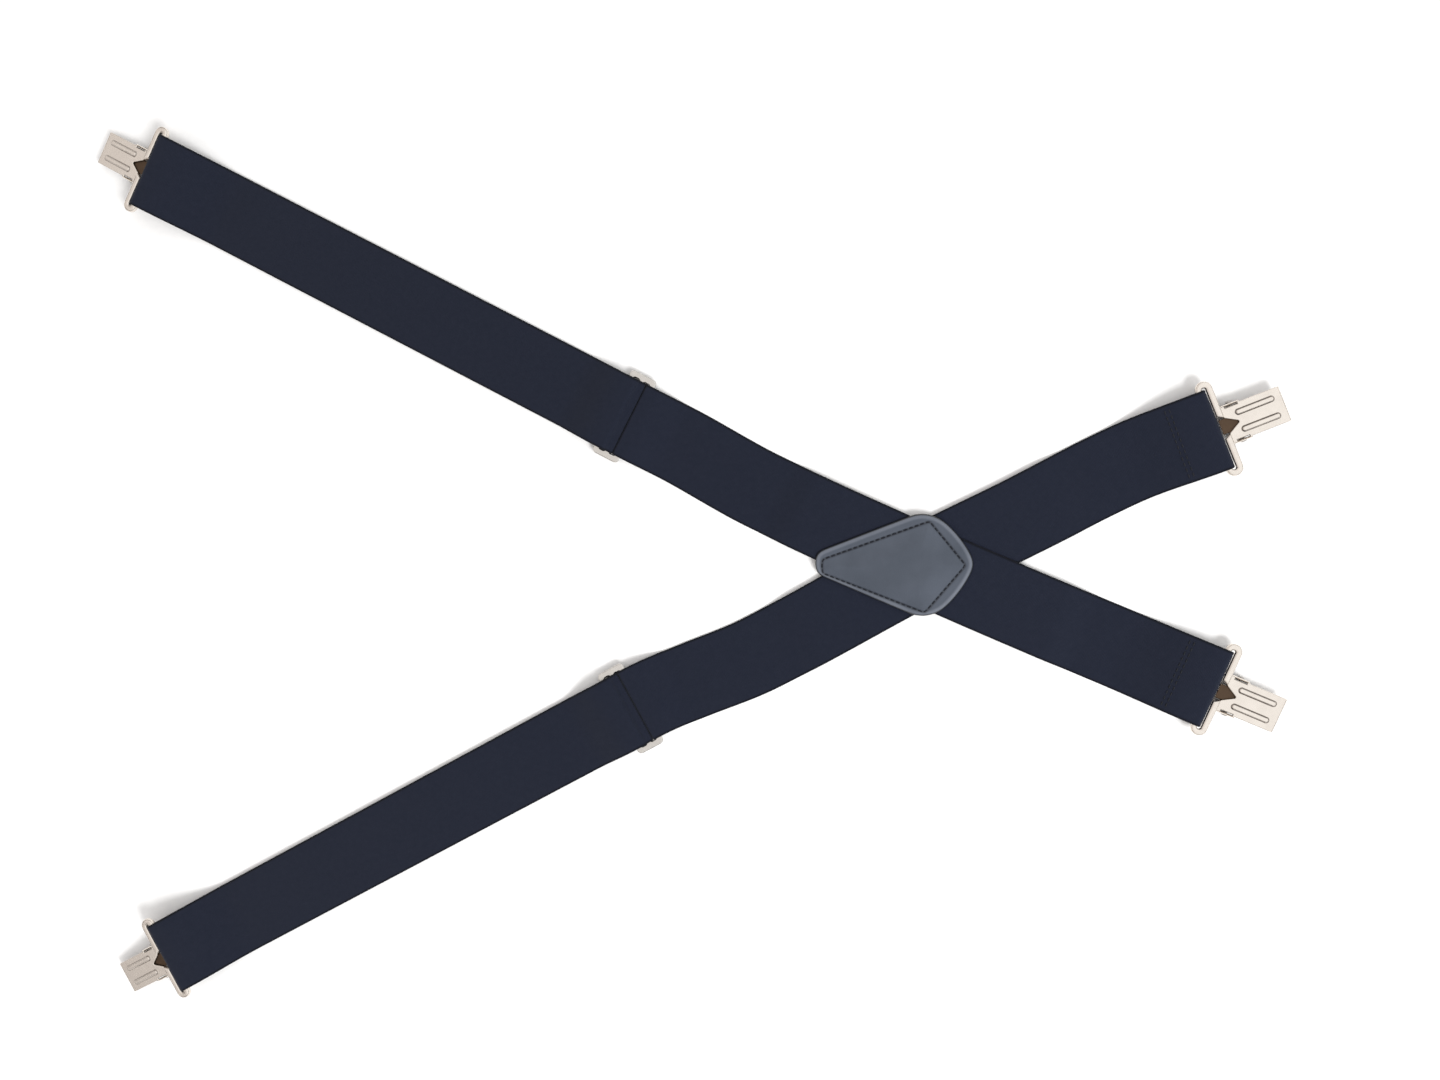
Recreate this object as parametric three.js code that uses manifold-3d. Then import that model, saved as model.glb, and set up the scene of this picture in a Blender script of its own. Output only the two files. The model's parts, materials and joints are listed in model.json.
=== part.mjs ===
// X-back work suspenders laid out flat, body side up.
//
// Two lengths of wide webbing cross in the middle of the back, held between two leather patches. Each one
// starts round the bar of a back clip, runs over the shoulder, threads a three-bar slide, loops round the bar
// of a front clip and comes back to the slide's middle bar. Each clip is a stamped plate with a bar frame, a
// toothed jaw hinged in its ears, a cam lever on a rivet and a leaf spring.
//
// Frame: millimetres, origin on the underside of the outer patch where the straps cross, +X towards the back
// clips, +Y towards the wearer's left, +Z away from the surface the suspenders lie on (the body side).

import * as THREE from 'three';
import { mergeVertices } from 'three/addons/utils/BufferGeometryUtils.js';
import Module from 'manifold-3d';

const wasm = await Module();
wasm.setup();

// ---------------------------------------------------------------- driving dimensions

const gap = 0.3; // clearance between pieces that touch or run in each other

// webbing
const webbingWidth = 50;
const webbingThickness = 1.4;
const loopRadius = 3; // middle of the webbing where it turns round a clip's bar
const loopLength = 14; // length of the turned end that stays with a front clip
const liftLength = 55; // over which the webbing rises from the surface to a front clip's bar
const backTailLength = 28; // folded end sewn down behind a back clip
const backTailDrop = 22;
const slideTailLength = 16; // folded end sewn down in front of the slide
const slideRise = 28; // over which the webbing climbs onto the slide's end bars
const returnRise = 31;
const bendRadius = 1.2; // where the webbing turns down into a slide's slot

// where the straps lie: clip bars, slides and the way between them
const leftStrap = {
  frontBar: [-509.1, 255.4],
  slide: [-193.0, 92.7],
  way: [[-104, 45.0], [0, -2.5], [88, -40]],
  backBar: [170.1, -73.9],
  crossing: 1, // index in way of the point at the patch
};
const rightStrap = {
  frontBar: [-509.7, -273.5],
  slide: [-189.8, -96.4],
  way: [[-140, -73.0], [0, 0.3], [52.5, 26.9], [121.6, 62.8]],
  backBar: [168.3, 81.6],
  crossing: 1,
};

// cross patch, two kite-shaped pieces of leather
const patchThickness = 1.8;
const patchLeft = 70; // blunt tip towards the front
const patchRight = 28.5;
const patchTop = 31.4;
const patchBottom = 33.6;
const patchTipTop = 7.4;
const patchTipBottom = 8.2;
const patchShoulder = 4; // half the length of its rounded top and bottom
const crossRise = 25; // over which a strap climbs to its level at the crossing

// three-bar slide
const slideThickness = 2;
const midBarWidth = 3.6;
const endBarWidth = 4;
const slideCorner = 3;
const slideSlotCorner = 1;
const slideSideClearance = 1; // between the webbing's edge and the end of a slot
const slideEndWidth = 3.4; // metal beyond the ends of the slots

// clip frame and plate
const frontBarHeight = 13.6; // of a clip's bar above the surface
const backBarHeight = 8.6;
const frontTilt = 11; // degrees by which a front clip's plate dips towards the surface
const frameWire = 3.6;
const frameClearance = 0.5; // between the turned webbing and the frame's outer band
const frameSideClearance = 1; // between the webbing's edges and the frame's sides
const frameCorner = 4.6;
const plateLength = 36; // beyond the frame's outer band
const plateHalfWidth = 11.1;
const plateThickness = 1.2;
const plateFlare = 2.5;
const plateCorner = 1.8;
const notchHalfWidth = 6.6;
const notchDepth = 11.2;
const notchApex = 0.9;
const ribStart = 15.4;
const ribLength = 22.9;
const ribWidth = 2.8;
const ribCorner = 1;
const ribHeight = 0.6;
const ribOffset = 5.4;
const lipDrop = 1.9; // bent toothed lip at the plate's tip
const lipTeeth = 7;

// ears, rivet and lever
const earStart = 8.8;
const earLength = 11;
const earThickness = 1.2;
const earClearance = 0.5; // between the jaw's sides and the ears
const leverPinPosition = 15.7;
const pinRadius = 1;
const pinHeadRadius = 1.9;
const pinHeadThickness = 0.8;
const barrelRadius = 2;
const camLift = 0.5; // how far the cam stands above the barrel when the lever is closed
const camRadius = 1.6;
const earRound = 2.4; // ear metal round the rivet
const leverThickness = 1.1;
const leverLean = 8; // degrees by which the closed lever closes up to the jaw
const leverReach = 21.5; // from the rivet to where the finger tip curls away
const leverCurlRadius = 1.25;
const leverCurlAngle = 50; // degrees
const leverCorner = 4;

// jaw and spring
const jawPosition = 11.5; // of its lugs
const jawTopDrop = 2.1; // closed jaw's upper face below the middle of the plate
const jawThickness = 1;
const jawHeel = 2.3; // behind the lugs
const jawTipClearance = 0.9; // between the jaw's toothed lip and the plate's lip
const jawLipHeight = 0.8;
const jawTeeth = 6;
const lugRadius = 1;
const springWidth = 9;
const springThickness = 0.4;
const springStart = 7.8;
const springLength = 17;

// how finely curves are divided
const layStep = 16; // along webbing that lies straight
const bendSteps = 5; // in a quarter turn of webbing
const easeSteps = 8; // in a rise
const roundSteps = 14; // round a pin or hole
const cornerSteps = 3;

// ---------------------------------------------------------------- solids

// A closed geometry as a manifold-3d solid.
function solidOf(geometry) {
  const bare = geometry.index ? geometry : geometry.clone();
  bare.deleteAttribute('normal');
  bare.deleteAttribute('uv');
  const merged = mergeVertices(bare, 1e-4);
  return new wasm.Manifold(new wasm.Mesh({
    numProp: 3,
    vertProperties: new Float32Array(merged.attributes.position.array),
    triVerts: new Uint32Array(merged.index.array),
  }));
}

// A solid's surface as a flat-shaded geometry.
function geometryOf(solid) {
  const surface = solid.getMesh();
  const geometry = new THREE.BufferGeometry();
  geometry.setAttribute('position', new THREE.BufferAttribute(new Float32Array(surface.vertProperties), 3));
  geometry.setIndex(new THREE.BufferAttribute(new Uint32Array(surface.triVerts), 1));
  geometry.computeVertexNormals();
  return geometry;
}

function join(solids) {
  return solids.reduce((all, next) => all.add(next));
}

function radians(degrees) {
  return degrees * Math.PI / 180;
}

// A flat outline in the XY plane made into a plate from z = low to z = high, its edges bevelled.
function plateSolid(shape, low, high, bevel = 0, bevelSegments = 1) {
  const geometry = new THREE.ExtrudeGeometry(shape, {
    depth: high - low - 2 * bevel,
    bevelEnabled: bevel > 0,
    bevelThickness: bevel,
    bevelSize: bevel,
    bevelOffset: -bevel,
    bevelSegments,
    curveSegments: cornerSteps,
    steps: 1,
  });
  geometry.translate(0, 0, low + bevel);
  return solidOf(geometry);
}

// A side outline in the XZ plane made into a solid from y = -half to y = +half.
function profileSolid(shape, half) {
  const geometry = new THREE.ExtrudeGeometry(shape, {
    depth: 2 * half,
    bevelEnabled: false,
    curveSegments: cornerSteps,
    steps: 1,
  });
  geometry.translate(0, 0, -half);
  geometry.rotateX(Math.PI / 2);
  return solidOf(geometry);
}

// A round bar along Y.
function roundBar(radius, half, x, z) {
  const geometry = new THREE.CylinderGeometry(radius, radius, 2 * half, roundSteps);
  geometry.translate(x, 0, z);
  return solidOf(geometry);
}

function box(xRange, yRange, zRange) {
  const size = [xRange, yRange, zRange].map(([low, high]) => high - low);
  const middle = [xRange, yRange, zRange].map(([low, high]) => (high + low) / 2);
  const geometry = new THREE.BoxGeometry(...size);
  geometry.translate(...middle);
  return solidOf(geometry);
}

// A rectangle with rounded corners, centred on (x, y).
function roundedRectangle(x, y, length, width, corner, Kind = THREE.Shape) {
  const halfLength = length / 2;
  const halfWidth = width / 2;
  const outline = new Kind();
  outline.absarc(x + halfLength - corner, y - halfWidth + corner, corner, -Math.PI / 2, 0, false);
  outline.absarc(x + halfLength - corner, y + halfWidth - corner, corner, 0, Math.PI / 2, false);
  outline.absarc(x - halfLength + corner, y + halfWidth - corner, corner, Math.PI / 2, Math.PI, false);
  outline.absarc(x - halfLength + corner, y - halfWidth + corner, corner, Math.PI, Math.PI * 1.5, false);
  outline.closePath();
  return outline;
}

// ---------------------------------------------------------------- side views of bent strips

// Points on a quarter or part turn, angles in degrees.
function arcPoints(x, z, radius, from, to) {
  const steps = Math.max(2, Math.round(bendSteps * Math.abs(to - from) / 90));
  const points = [];
  for (let i = 0; i <= steps; i++) {
    const angle = radians(from + (to - from) * i / steps);
    points.push(new THREE.Vector2(x + radius * Math.cos(angle), z + radius * Math.sin(angle)));
  }
  return points;
}

// A smooth rise or fall between two levels, level at both ends.
function riseHeight(x, start, end) {
  const share = THREE.MathUtils.clamp((x - start[0]) / (end[0] - start[0]), 0, 1);
  return start[1] + (end[1] - start[1]) * (1 - Math.cos(Math.PI * share)) / 2;
}

function risePoints(start, end, from = start[0], to = end[0]) {
  const steps = Math.max(2, Math.round(easeSteps * Math.abs((to - from) / (end[0] - start[0]))));
  const points = [];
  for (let i = 0; i <= steps; i++) {
    const x = from + (to - from) * i / steps;
    points.push(new THREE.Vector2(x, riseHeight(x, start, end)));
  }
  return points;
}

// A level stretch, divided so that it can follow the strap's curve on the floor.
function levelPoints(from, to, height) {
  const steps = Math.max(1, Math.round(Math.abs(to - from) / layStep));
  const points = [];
  for (let i = 0; i <= steps; i++) {
    points.push(new THREE.Vector2(from + (to - from) * i / steps, height));
  }
  return points;
}

// The closed outline of a strip of even thickness whose middle follows the points.
function stripOutline(points, thickness) {
  const middle = points.filter((point, i) => i === 0 || point.distanceTo(points[i - 1]) > 1e-3);
  const upper = [];
  const lower = [];
  middle.forEach((point, i) => {
    const before = middle[Math.max(i - 1, 0)];
    const after = middle[Math.min(i + 1, middle.length - 1)];
    const inward = i > 0 ? point.clone().sub(before).normalize() : after.clone().sub(point).normalize();
    const outward = i < middle.length - 1 ? after.clone().sub(point).normalize() : inward;
    const along = inward.clone().add(outward).normalize();
    const reach = thickness / 2 / along.dot(inward);
    const side = new THREE.Vector2(-along.y, along.x).multiplyScalar(reach);
    upper.push(point.clone().add(side));
    lower.push(point.clone().sub(side));
  });
  return new THREE.Shape([...lower, ...upper.reverse()]);
}

// ---------------------------------------------------------------- straps

// The way a strap lies on the floor, as a smooth curve with places measured along it from the front bar.
class StrapWay {
  constructor({ frontBar, slide, way, backBar, crossing }) {
    const points = [frontBar, slide, slide, ...way, backBar].map(([x, y]) => new THREE.Vector3(x, y, 0));
    const frontHeading = points[1].clone().sub(points[0]).normalize();
    points[2].addScaledVector(frontHeading, slideHalf + slideRise);
    const directions = points.map((point, i) => {
      const before = points[Math.max(i - 1, 0)];
      const after = points[Math.min(i + 1, points.length - 1)];
      return after.clone().sub(before).normalize();
    });
    directions[1].copy(frontHeading);
    directions[2].copy(frontHeading);
    this.curve = new THREE.CurvePath();
    for (let i = 0; i + 1 < points.length; i++) {
      const arm = points[i].distanceTo(points[i + 1]) / 3;
      this.curve.add(new THREE.CubicBezierCurve3(
        points[i],
        points[i].clone().addScaledVector(directions[i], arm),
        points[i + 1].clone().addScaledVector(directions[i + 1], -arm),
        points[i + 1],
      ));
    }
    const lengths = this.curve.getCurveLengths();
    this.length = lengths[lengths.length - 1];
    this.slide = lengths[0];
    this.cross = lengths[2 + crossing];
  }

  // Point and heading at a distance from the front bar, straight on beyond either end.
  at(distance) {
    const inside = THREE.MathUtils.clamp(distance, 0, this.length);
    const point = this.curve.getPoint(inside / this.length);
    const step = 0.5;
    const low = Math.max(inside - step, 0);
    const high = Math.min(inside + step, this.length);
    const heading = this.curve.getPoint(high / this.length).sub(this.curve.getPoint(low / this.length)).normalize();
    return { point: point.addScaledVector(heading, distance - inside), heading };
  }

  // A strip drawn in side view (distance, height) laid along the way at the webbing's full width.
  lay(points) {
    const geometry = new THREE.ExtrudeGeometry(stripOutline(points, webbingThickness), {
      depth: webbingWidth,
      bevelEnabled: false,
      steps: 1,
    });
    const position = geometry.attributes.position;
    const up = new THREE.Vector3(0, 0, 1);
    for (let i = 0; i < position.count; i++) {
      const { point, heading } = this.at(position.getX(i));
      const sideways = heading.clone().cross(up);
      point.addScaledVector(sideways, position.getZ(i) - webbingWidth / 2);
      point.z += position.getY(i);
      position.setXYZ(i, point.x, point.y, point.z);
    }
    return geometryOf(solidOf(geometry));
  }
}

// levels of the middle of the webbing
const pitch = webbingThickness + gap; // from one layer to the next
const layerGap = gap + webbingThickness / 2; // from a face to the middle of the webbing next to it
const onFloor = webbingThickness / 2;
const onFirstLayer = onFloor + pitch;
const underCross = patchThickness + layerGap;
const overCross = underCross + pitch;
const crossHalf = patchLeft + webbingWidth / 4; // the straps stay level this far each side of the crossing
const slideMiddle = onFirstLayer + layerGap + slideThickness / 2;
const overBar = slideMiddle + slideThickness / 2 + layerGap;
const tailOverBar = overBar + pitch;
const returnOverBar = tailOverBar + pitch;

// places across the slide, from its middle bar
const wrapSide = midBarWidth / 2 + layerGap;
const runSide = wrapSide + pitch;
const endBarInside = runSide + layerGap;
const slideHalf = endBarInside + endBarWidth;
const crestStart = runSide + bendRadius;

// Where the lower layer rises from the floor onto the slide's outer bar.
function runOntoSlide(slide) {
  return [[slide - slideHalf - slideRise, onFloor], [slide - slideHalf, overBar]];
}

// The long layer: from just behind the front clip, under the slide's middle bar, across the back and round
// the back clip's bar to its sewn end.
function strapRun(way, crossLevel) {
  const { slide, cross, length } = way;
  const frontLow = [[0, frontBarHeight - loopRadius], [liftLength, onFloor]];
  const turn = overBar - bendRadius;
  const drop = onFloor + bendRadius;
  const inner = runSide - bendRadius;
  const backTop = [[length - backTailLength - 2, onFirstLayer], [length, backBarHeight + loopRadius]];
  const backStep = [[length - backTailLength - 2 - 15, onFloor], [length - backTailLength - 2, onFirstLayer]];
  return way.lay([
    ...risePoints(...frontLow, loopLength + gap, liftLength),
    ...levelPoints(liftLength, slide - slideHalf - slideRise, onFloor),
    ...risePoints(...runOntoSlide(slide)),
    ...arcPoints(slide - crestStart, turn, bendRadius, 90, 0),
    ...arcPoints(slide - inner, drop, bendRadius, 180, 270),
    ...arcPoints(slide + inner, drop, bendRadius, 270, 360),
    ...arcPoints(slide + crestStart, turn, bendRadius, 180, 90),
    ...risePoints([slide + slideHalf, overBar], [slide + slideHalf + slideRise, onFloor]),
    ...levelPoints(slide + slideHalf + slideRise, cross - crossHalf - crossRise, onFloor),
    ...risePoints([cross - crossHalf - crossRise, onFloor], [cross - crossHalf, crossLevel]),
    ...levelPoints(cross - crossHalf, cross + crossHalf, crossLevel),
    ...risePoints([cross + crossHalf, crossLevel], [cross + crossHalf + crossRise, onFloor]),
    ...levelPoints(cross + crossHalf + crossRise, backStep[0][0], onFloor),
    ...risePoints(...backStep),
    ...risePoints(...backTop),
    ...arcPoints(length, backBarHeight, loopRadius, 90, -90),
    ...risePoints([length, backBarHeight - loopRadius], [length - backTailDrop, onFloor]),
    new THREE.Vector2(length - backTailLength, onFloor),
  ]);
}

// The turned end that rides with the front clip, round its bar.
function strapLoop(way) {
  return way.lay([
    ...risePoints([0, frontBarHeight - loopRadius], [liftLength, onFloor], loopLength, 0),
    ...arcPoints(0, frontBarHeight, loopRadius, 270, 90),
    ...risePoints([0, frontBarHeight + loopRadius], [liftLength, onFirstLayer], 0, loopLength),
  ]);
}

// The upper layer: back from the front clip, over the slide's middle bar and round it to its sewn end.
function strapReturn(way) {
  const { slide } = way;
  const wrapRadius = layerGap;
  const side = midBarWidth / 2;
  const top = slideMiddle + slideThickness / 2;
  const bottom = slideMiddle - slideThickness / 2;
  const tailBend = wrapSide + bendRadius;
  const outerRadius = bendRadius + pitch;
  const fall = returnOverBar - overBar;
  const across = side + tailBend;
  const angle = 2 * Math.atan(fall / across) * 180 / Math.PI;
  const innerRadius = fall / (1 - Math.cos(radians(angle))) - outerRadius;
  const tail = runOntoSlide(slide).map(([x, height]) => [x, height + pitch]);
  return way.lay([
    ...risePoints([0, frontBarHeight + loopRadius], [liftLength, onFirstLayer], loopLength + gap, liftLength),
    ...levelPoints(liftLength, slide - slideHalf - returnRise, onFirstLayer),
    ...risePoints([slide - slideHalf - returnRise, onFirstLayer], [slide - slideHalf, returnOverBar]),
    ...arcPoints(slide - tailBend, returnOverBar - outerRadius, outerRadius, 90, 90 - angle),
    ...arcPoints(slide + side, overBar + innerRadius, innerRadius, 270 - angle, 270),
    ...arcPoints(slide + side, top, wrapRadius, 90, 0),
    ...arcPoints(slide + side, bottom, wrapRadius, 0, -90),
    ...arcPoints(slide - side, bottom, wrapRadius, 270, 180),
    ...arcPoints(slide - tailBend, tailOverBar - bendRadius, bendRadius, 0, 90),
    new THREE.Vector2(slide - slideHalf, tailOverBar),
    ...risePoints(...tail, slide - slideHalf, slide - slideTailLength),
  ]);
}

// ---------------------------------------------------------------- leather patch

// A kite with a blunt tip towards the front and a broad round end towards the back clips.
function patchOutline() {
  const outline = new THREE.Shape();
  const tipCorner = 3;
  const shoulder = 2 * patchShoulder;
  const broad = patchRight * 0.78;
  outline.moveTo(-patchLeft + tipCorner, -patchTipBottom);
  outline.lineTo(-shoulder, -patchBottom + 1);
  outline.quadraticCurveTo(-1, -patchBottom - 0.6, shoulder, -patchBottom + 4);
  outline.quadraticCurveTo(broad, -patchBottom * 0.5, patchRight, 0);
  outline.quadraticCurveTo(broad, patchTop * 0.5, shoulder, patchTop - 4);
  outline.quadraticCurveTo(-1, patchTop + 0.6, -shoulder, patchTop - 1);
  outline.lineTo(-patchLeft + tipCorner, patchTipTop);
  outline.quadraticCurveTo(-patchLeft, patchTipTop, -patchLeft, patchTipTop - tipCorner);
  outline.lineTo(-patchLeft, -patchTipBottom + tipCorner);
  outline.quadraticCurveTo(-patchLeft, -patchTipBottom, -patchLeft + tipCorner, -patchTipBottom);
  return outline;
}

function patch(low) {
  return geometryOf(plateSolid(patchOutline(), low, low + patchThickness));
}

// ---------------------------------------------------------------- slide

// Three bars joined at their ends, drawn with the webbing running along X over the middle bar at x = 0.
function slideGeometry() {
  const slotWidth = endBarInside - midBarWidth / 2;
  const slotLength = webbingWidth + 2 * slideSideClearance;
  const outline = roundedRectangle(0, 0, 2 * slideHalf, slotLength + 2 * slideEndWidth, slideCorner);
  for (const side of [-1, 1]) {
    const middle = side * (midBarWidth + slotWidth) / 2;
    outline.holes.push(roundedRectangle(middle, 0, slotWidth, slotLength, slideSlotCorner, THREE.Path));
  }
  return geometryOf(plateSolid(outline, -slideThickness / 2, slideThickness / 2));
}

// ---------------------------------------------------------------- clip
// Drawn with the bar's axis along Y at the origin, the tip towards +X and the body side up.

const bandInside = loopRadius + webbingThickness / 2 + frameClearance;
const bandOutside = bandInside + frameWire;
const plateTip = bandOutside + plateLength;
const plateUnder = -plateThickness / 2;
const earInside = plateHalfWidth - 0.2;
const earOutside = earInside + earThickness;
const jawTop = -jawTopDrop;
const jawMiddle = jawTop - jawThickness / 2;
const jawUnder = jawTop - jawThickness;
const leverPinHeight = jawUnder - gap - camLift - barrelRadius;
const pinHole = pinRadius + gap;
const lugHole = lugRadius + gap;

// The frame that the webbing turns round: one rounded wire-like ring whose inner side is the bar.
function clipFrame() {
  const halfWidth = webbingWidth / 2 + frameSideClearance;
  const wire = frameWire / 2;
  const ring = roundedRectangle((bandOutside - wire) / 2, 0, bandOutside + wire,
    2 * (halfWidth + frameWire), frameCorner);
  ring.holes.push(roundedRectangle((wire + bandInside) / 2, 0, bandInside - wire, 2 * halfWidth, 1, THREE.Path));
  return plateSolid(ring, -wire, wire, wire * 0.55);
}

function clipSheet() {
  const start = bandInside + frameWire / 2;
  const neck = bandOutside;
  const half = plateHalfWidth;
  const wide = half + plateFlare;
  const fillet = neck + plateFlare;
  const outline = new THREE.Shape();
  outline.moveTo(start, -wide);
  outline.lineTo(neck, -wide);
  outline.absarc(fillet, -wide, plateFlare, Math.PI, Math.PI / 2, true);
  outline.absarc(plateTip - plateCorner, -half + plateCorner, plateCorner, -Math.PI / 2, 0, false);
  outline.absarc(plateTip - plateCorner, half - plateCorner, plateCorner, 0, Math.PI / 2, false);
  outline.absarc(fillet, wide, plateFlare, -Math.PI / 2, -Math.PI, true);
  outline.lineTo(start, wide);
  outline.closePath();
  return plateSolid(outline, plateUnder, plateThickness / 2, 0.25);
}

// The notch opens from the frame's slot into the neck and narrows to a round point.
function clipNotch() {
  const apex = bandInside + notchDepth - notchApex;
  const outline = new THREE.Shape();
  outline.moveTo(bandInside - 1, -notchHalfWidth);
  outline.lineTo(bandInside + 1, -notchHalfWidth);
  outline.absarc(apex, 0, notchApex, -radians(50), radians(50), false);
  outline.lineTo(bandInside + 1, notchHalfWidth);
  outline.lineTo(bandInside - 1, notchHalfWidth);
  outline.closePath();
  return plateSolid(outline, -frameWire, frameWire);
}

function clipRibs() {
  return [-1, 1].map((side) => {
    const pill = roundedRectangle(ribStart + ribLength / 2, side * ribOffset, ribLength, ribWidth, ribCorner);
    return plateSolid(pill, 0, plateThickness / 2 + ribHeight, ribHeight * 0.6);
  });
}

// A side ear bent down from the plate, round at the rivet, with holes for the rivet and the jaw's lug.
function clipEar(side) {
  const outline = new THREE.Shape();
  outline.moveTo(earStart, plateThickness / 2 - 0.2);
  outline.lineTo(earStart, jawMiddle - lugHole);
  outline.absarc(leverPinPosition, leverPinHeight, earRound, -radians(150), 0, false);
  outline.lineTo(earStart + earLength, jawTop);
  outline.lineTo(earStart + earLength, plateThickness / 2 - 0.2);
  outline.closePath();
  const middle = side * (earInside + earOutside) / 2;
  return profileSolid(outline, earThickness / 2).translate(0, middle, 0);
}

// A comb of blunt teeth along the edge of a bent lip, from y = -half to y = +half.
function toothedLip(xRange, half, base, tip, count) {
  const outline = new THREE.Shape();
  const toothWidth = 2 * half / (count * 2 - 1);
  const root = base + (tip - base) * 0.5;
  outline.moveTo(-half, base);
  for (let i = 0; i < count; i++) {
    const left = -half + 2 * i * toothWidth;
    outline.lineTo(left, tip);
    outline.lineTo(left + toothWidth, tip);
    if (i < count - 1) {
      outline.lineTo(left + toothWidth, root);
      outline.lineTo(left + 2 * toothWidth, root);
    }
  }
  outline.lineTo(half, base);
  outline.closePath();
  const geometry = new THREE.ExtrudeGeometry(outline, { depth: xRange[1] - xRange[0], bevelEnabled: false });
  geometry.rotateX(Math.PI / 2);
  geometry.rotateZ(Math.PI / 2);
  geometry.translate(xRange[0], 0, 0);
  return solidOf(geometry);
}

function clipPlateGeometry() {
  const tabs = [-1, 1].map((side) => {
    const inner = side * (earInside - 1);
    const outer = side * earOutside;
    const yRange = [Math.min(inner, outer), Math.max(inner, outer)];
    return box([earStart, earStart + earLength], yRange, [plateUnder, plateThickness / 2 - 0.2]);
  });
  const lipRange = [plateTip - plateThickness, plateTip];
  const lip = toothedLip(lipRange, plateHalfWidth - plateCorner, 0, plateUnder - lipDrop + 0.5, lipTeeth);
  const holes = [
    roundBar(pinHole, earOutside + 1, leverPinPosition, leverPinHeight),
    roundBar(lugHole, earOutside + 1, jawPosition, jawMiddle),
  ];
  const metal = join([clipFrame(), clipSheet(), ...clipRibs(), clipEar(-1), clipEar(1), ...tabs, lip]);
  return geometryOf(metal.subtract(clipNotch()).subtract(join(holes)));
}

// The jaw lies under the plate, turns on two lugs in the ears and ends in teeth bent up towards the plate.
function clipJawGeometry() {
  const half = earInside - earClearance;
  const tip = plateTip - plateThickness - jawTipClearance;
  const heel = jawPosition - jawHeel;
  const sheet = plateSolid(roundedRectangle((heel + tip) / 2, 0, tip - heel, 2 * half, 1.2), jawUnder, jawTop);
  const lip = toothedLip([tip - jawThickness, tip], half - 1.5, jawMiddle, jawTop + jawLipHeight, jawTeeth);
  const lugs = roundBar(lugRadius, earOutside, jawPosition, jawMiddle);
  const middle = box([heel, jawPosition + lugRadius + 1], [-half + 1, half - 1], [jawTop, jawTop + lugRadius]);
  const under = box([heel, jawPosition + lugRadius + 1], [-half + 1, half - 1], [jawUnder - lugRadius, jawUnder]);
  return geometryOf(join([sheet, lip, lugs.subtract(join([middle, under]))]));
}

// The lever turns on the rivet; its cam bears on the jaw when it is closed, and its end curls out for a finger.
function clipLeverGeometry() {
  const half = earInside - earClearance - gap;
  const middle = leverPinHeight - barrelRadius + leverThickness / 2;
  const lean = radians(leverLean);
  const end = leverPinPosition + leverReach;
  const endHeight = middle + leverReach * Math.tan(lean);
  const curlX = end + leverCurlRadius * Math.sin(lean);
  const curlZ = endHeight - leverCurlRadius * Math.cos(lean);
  const curl = arcPoints(curlX, curlZ, leverCurlRadius, 90 + leverLean, 90 + leverLean - leverCurlAngle);
  const strip = stripOutline([new THREE.Vector2(leverPinPosition, middle), ...curl], leverThickness);
  const reach = leverReach + leverCurlRadius + leverThickness;
  const plan = roundedRectangle(leverPinPosition + reach / 2 - leverCorner, 0, reach + 2 * leverCorner,
    2 * half, leverCorner);
  const sheet = profileSolid(strip, half).intersect(plateSolid(plan, leverPinHeight - 8, leverPinHeight + 8));
  const barrel = roundBar(barrelRadius, half, leverPinPosition, leverPinHeight);
  const camMiddle = leverPinHeight + barrelRadius + camLift - camRadius;
  const cam = roundBar(camRadius, half, leverPinPosition, camMiddle);
  const hole = roundBar(pinHole, half + 1, leverPinPosition, leverPinHeight);
  return geometryOf(join([sheet, barrel, cam]).subtract(hole));
}

// A rivet with a flat head outside each ear.
function clipPinGeometry() {
  const shank = earOutside + gap;
  const end = shank + pinHeadThickness;
  const profile = [[0, -end], [pinHeadRadius, -end], [pinHeadRadius, -shank], [pinRadius, -shank],
    [pinRadius, shank], [pinHeadRadius, shank], [pinHeadRadius, end], [0, end]];
  const geometry = new THREE.LatheGeometry(profile.map(([x, y]) => new THREE.Vector2(x, y)), roundSteps);
  return geometryOf(solidOf(geometry));
}

// A leaf spring under the notch: flat against the plate, then bowed down to push the jaw open.
function clipSpringGeometry() {
  const high = plateUnder - gap - springThickness / 2;
  const low = jawTop + gap + springThickness / 2;
  const bowStart = springStart + springLength * 0.45;
  const points = [
    new THREE.Vector2(springStart, high),
    ...risePoints([bowStart, high], [springStart + springLength, low]),
  ];
  return geometryOf(profileSolid(stripOutline(points, springThickness), springWidth / 2));
}

// ---------------------------------------------------------------- materials and assembly

function finish(color, roughness, metalness) {
  return new THREE.MeshStandardMaterial({ color, roughness, metalness });
}

const suspenders = new THREE.Group();

function addPiece(parent, name, geometry, material) {
  const mesh = new THREE.Mesh(geometry, material);
  mesh.name = name;
  parent.add(mesh);
  return mesh;
}

const clipPieces = [
  ['plate', clipPlateGeometry(), () => finish(0xc9c2ba, 0.32, 1)],
  ['jaw', clipJawGeometry(), () => finish(0xb9b3ab, 0.38, 1)],
  ['lever', clipLeverGeometry(), () => finish(0xd2ccc4, 0.25, 1)],
  ['rivet', clipPinGeometry(), () => finish(0xb0aaa2, 0.3, 1)],
  ['spring', clipSpringGeometry(), () => finish(0xa08a5a, 0.35, 1)],
];

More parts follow.
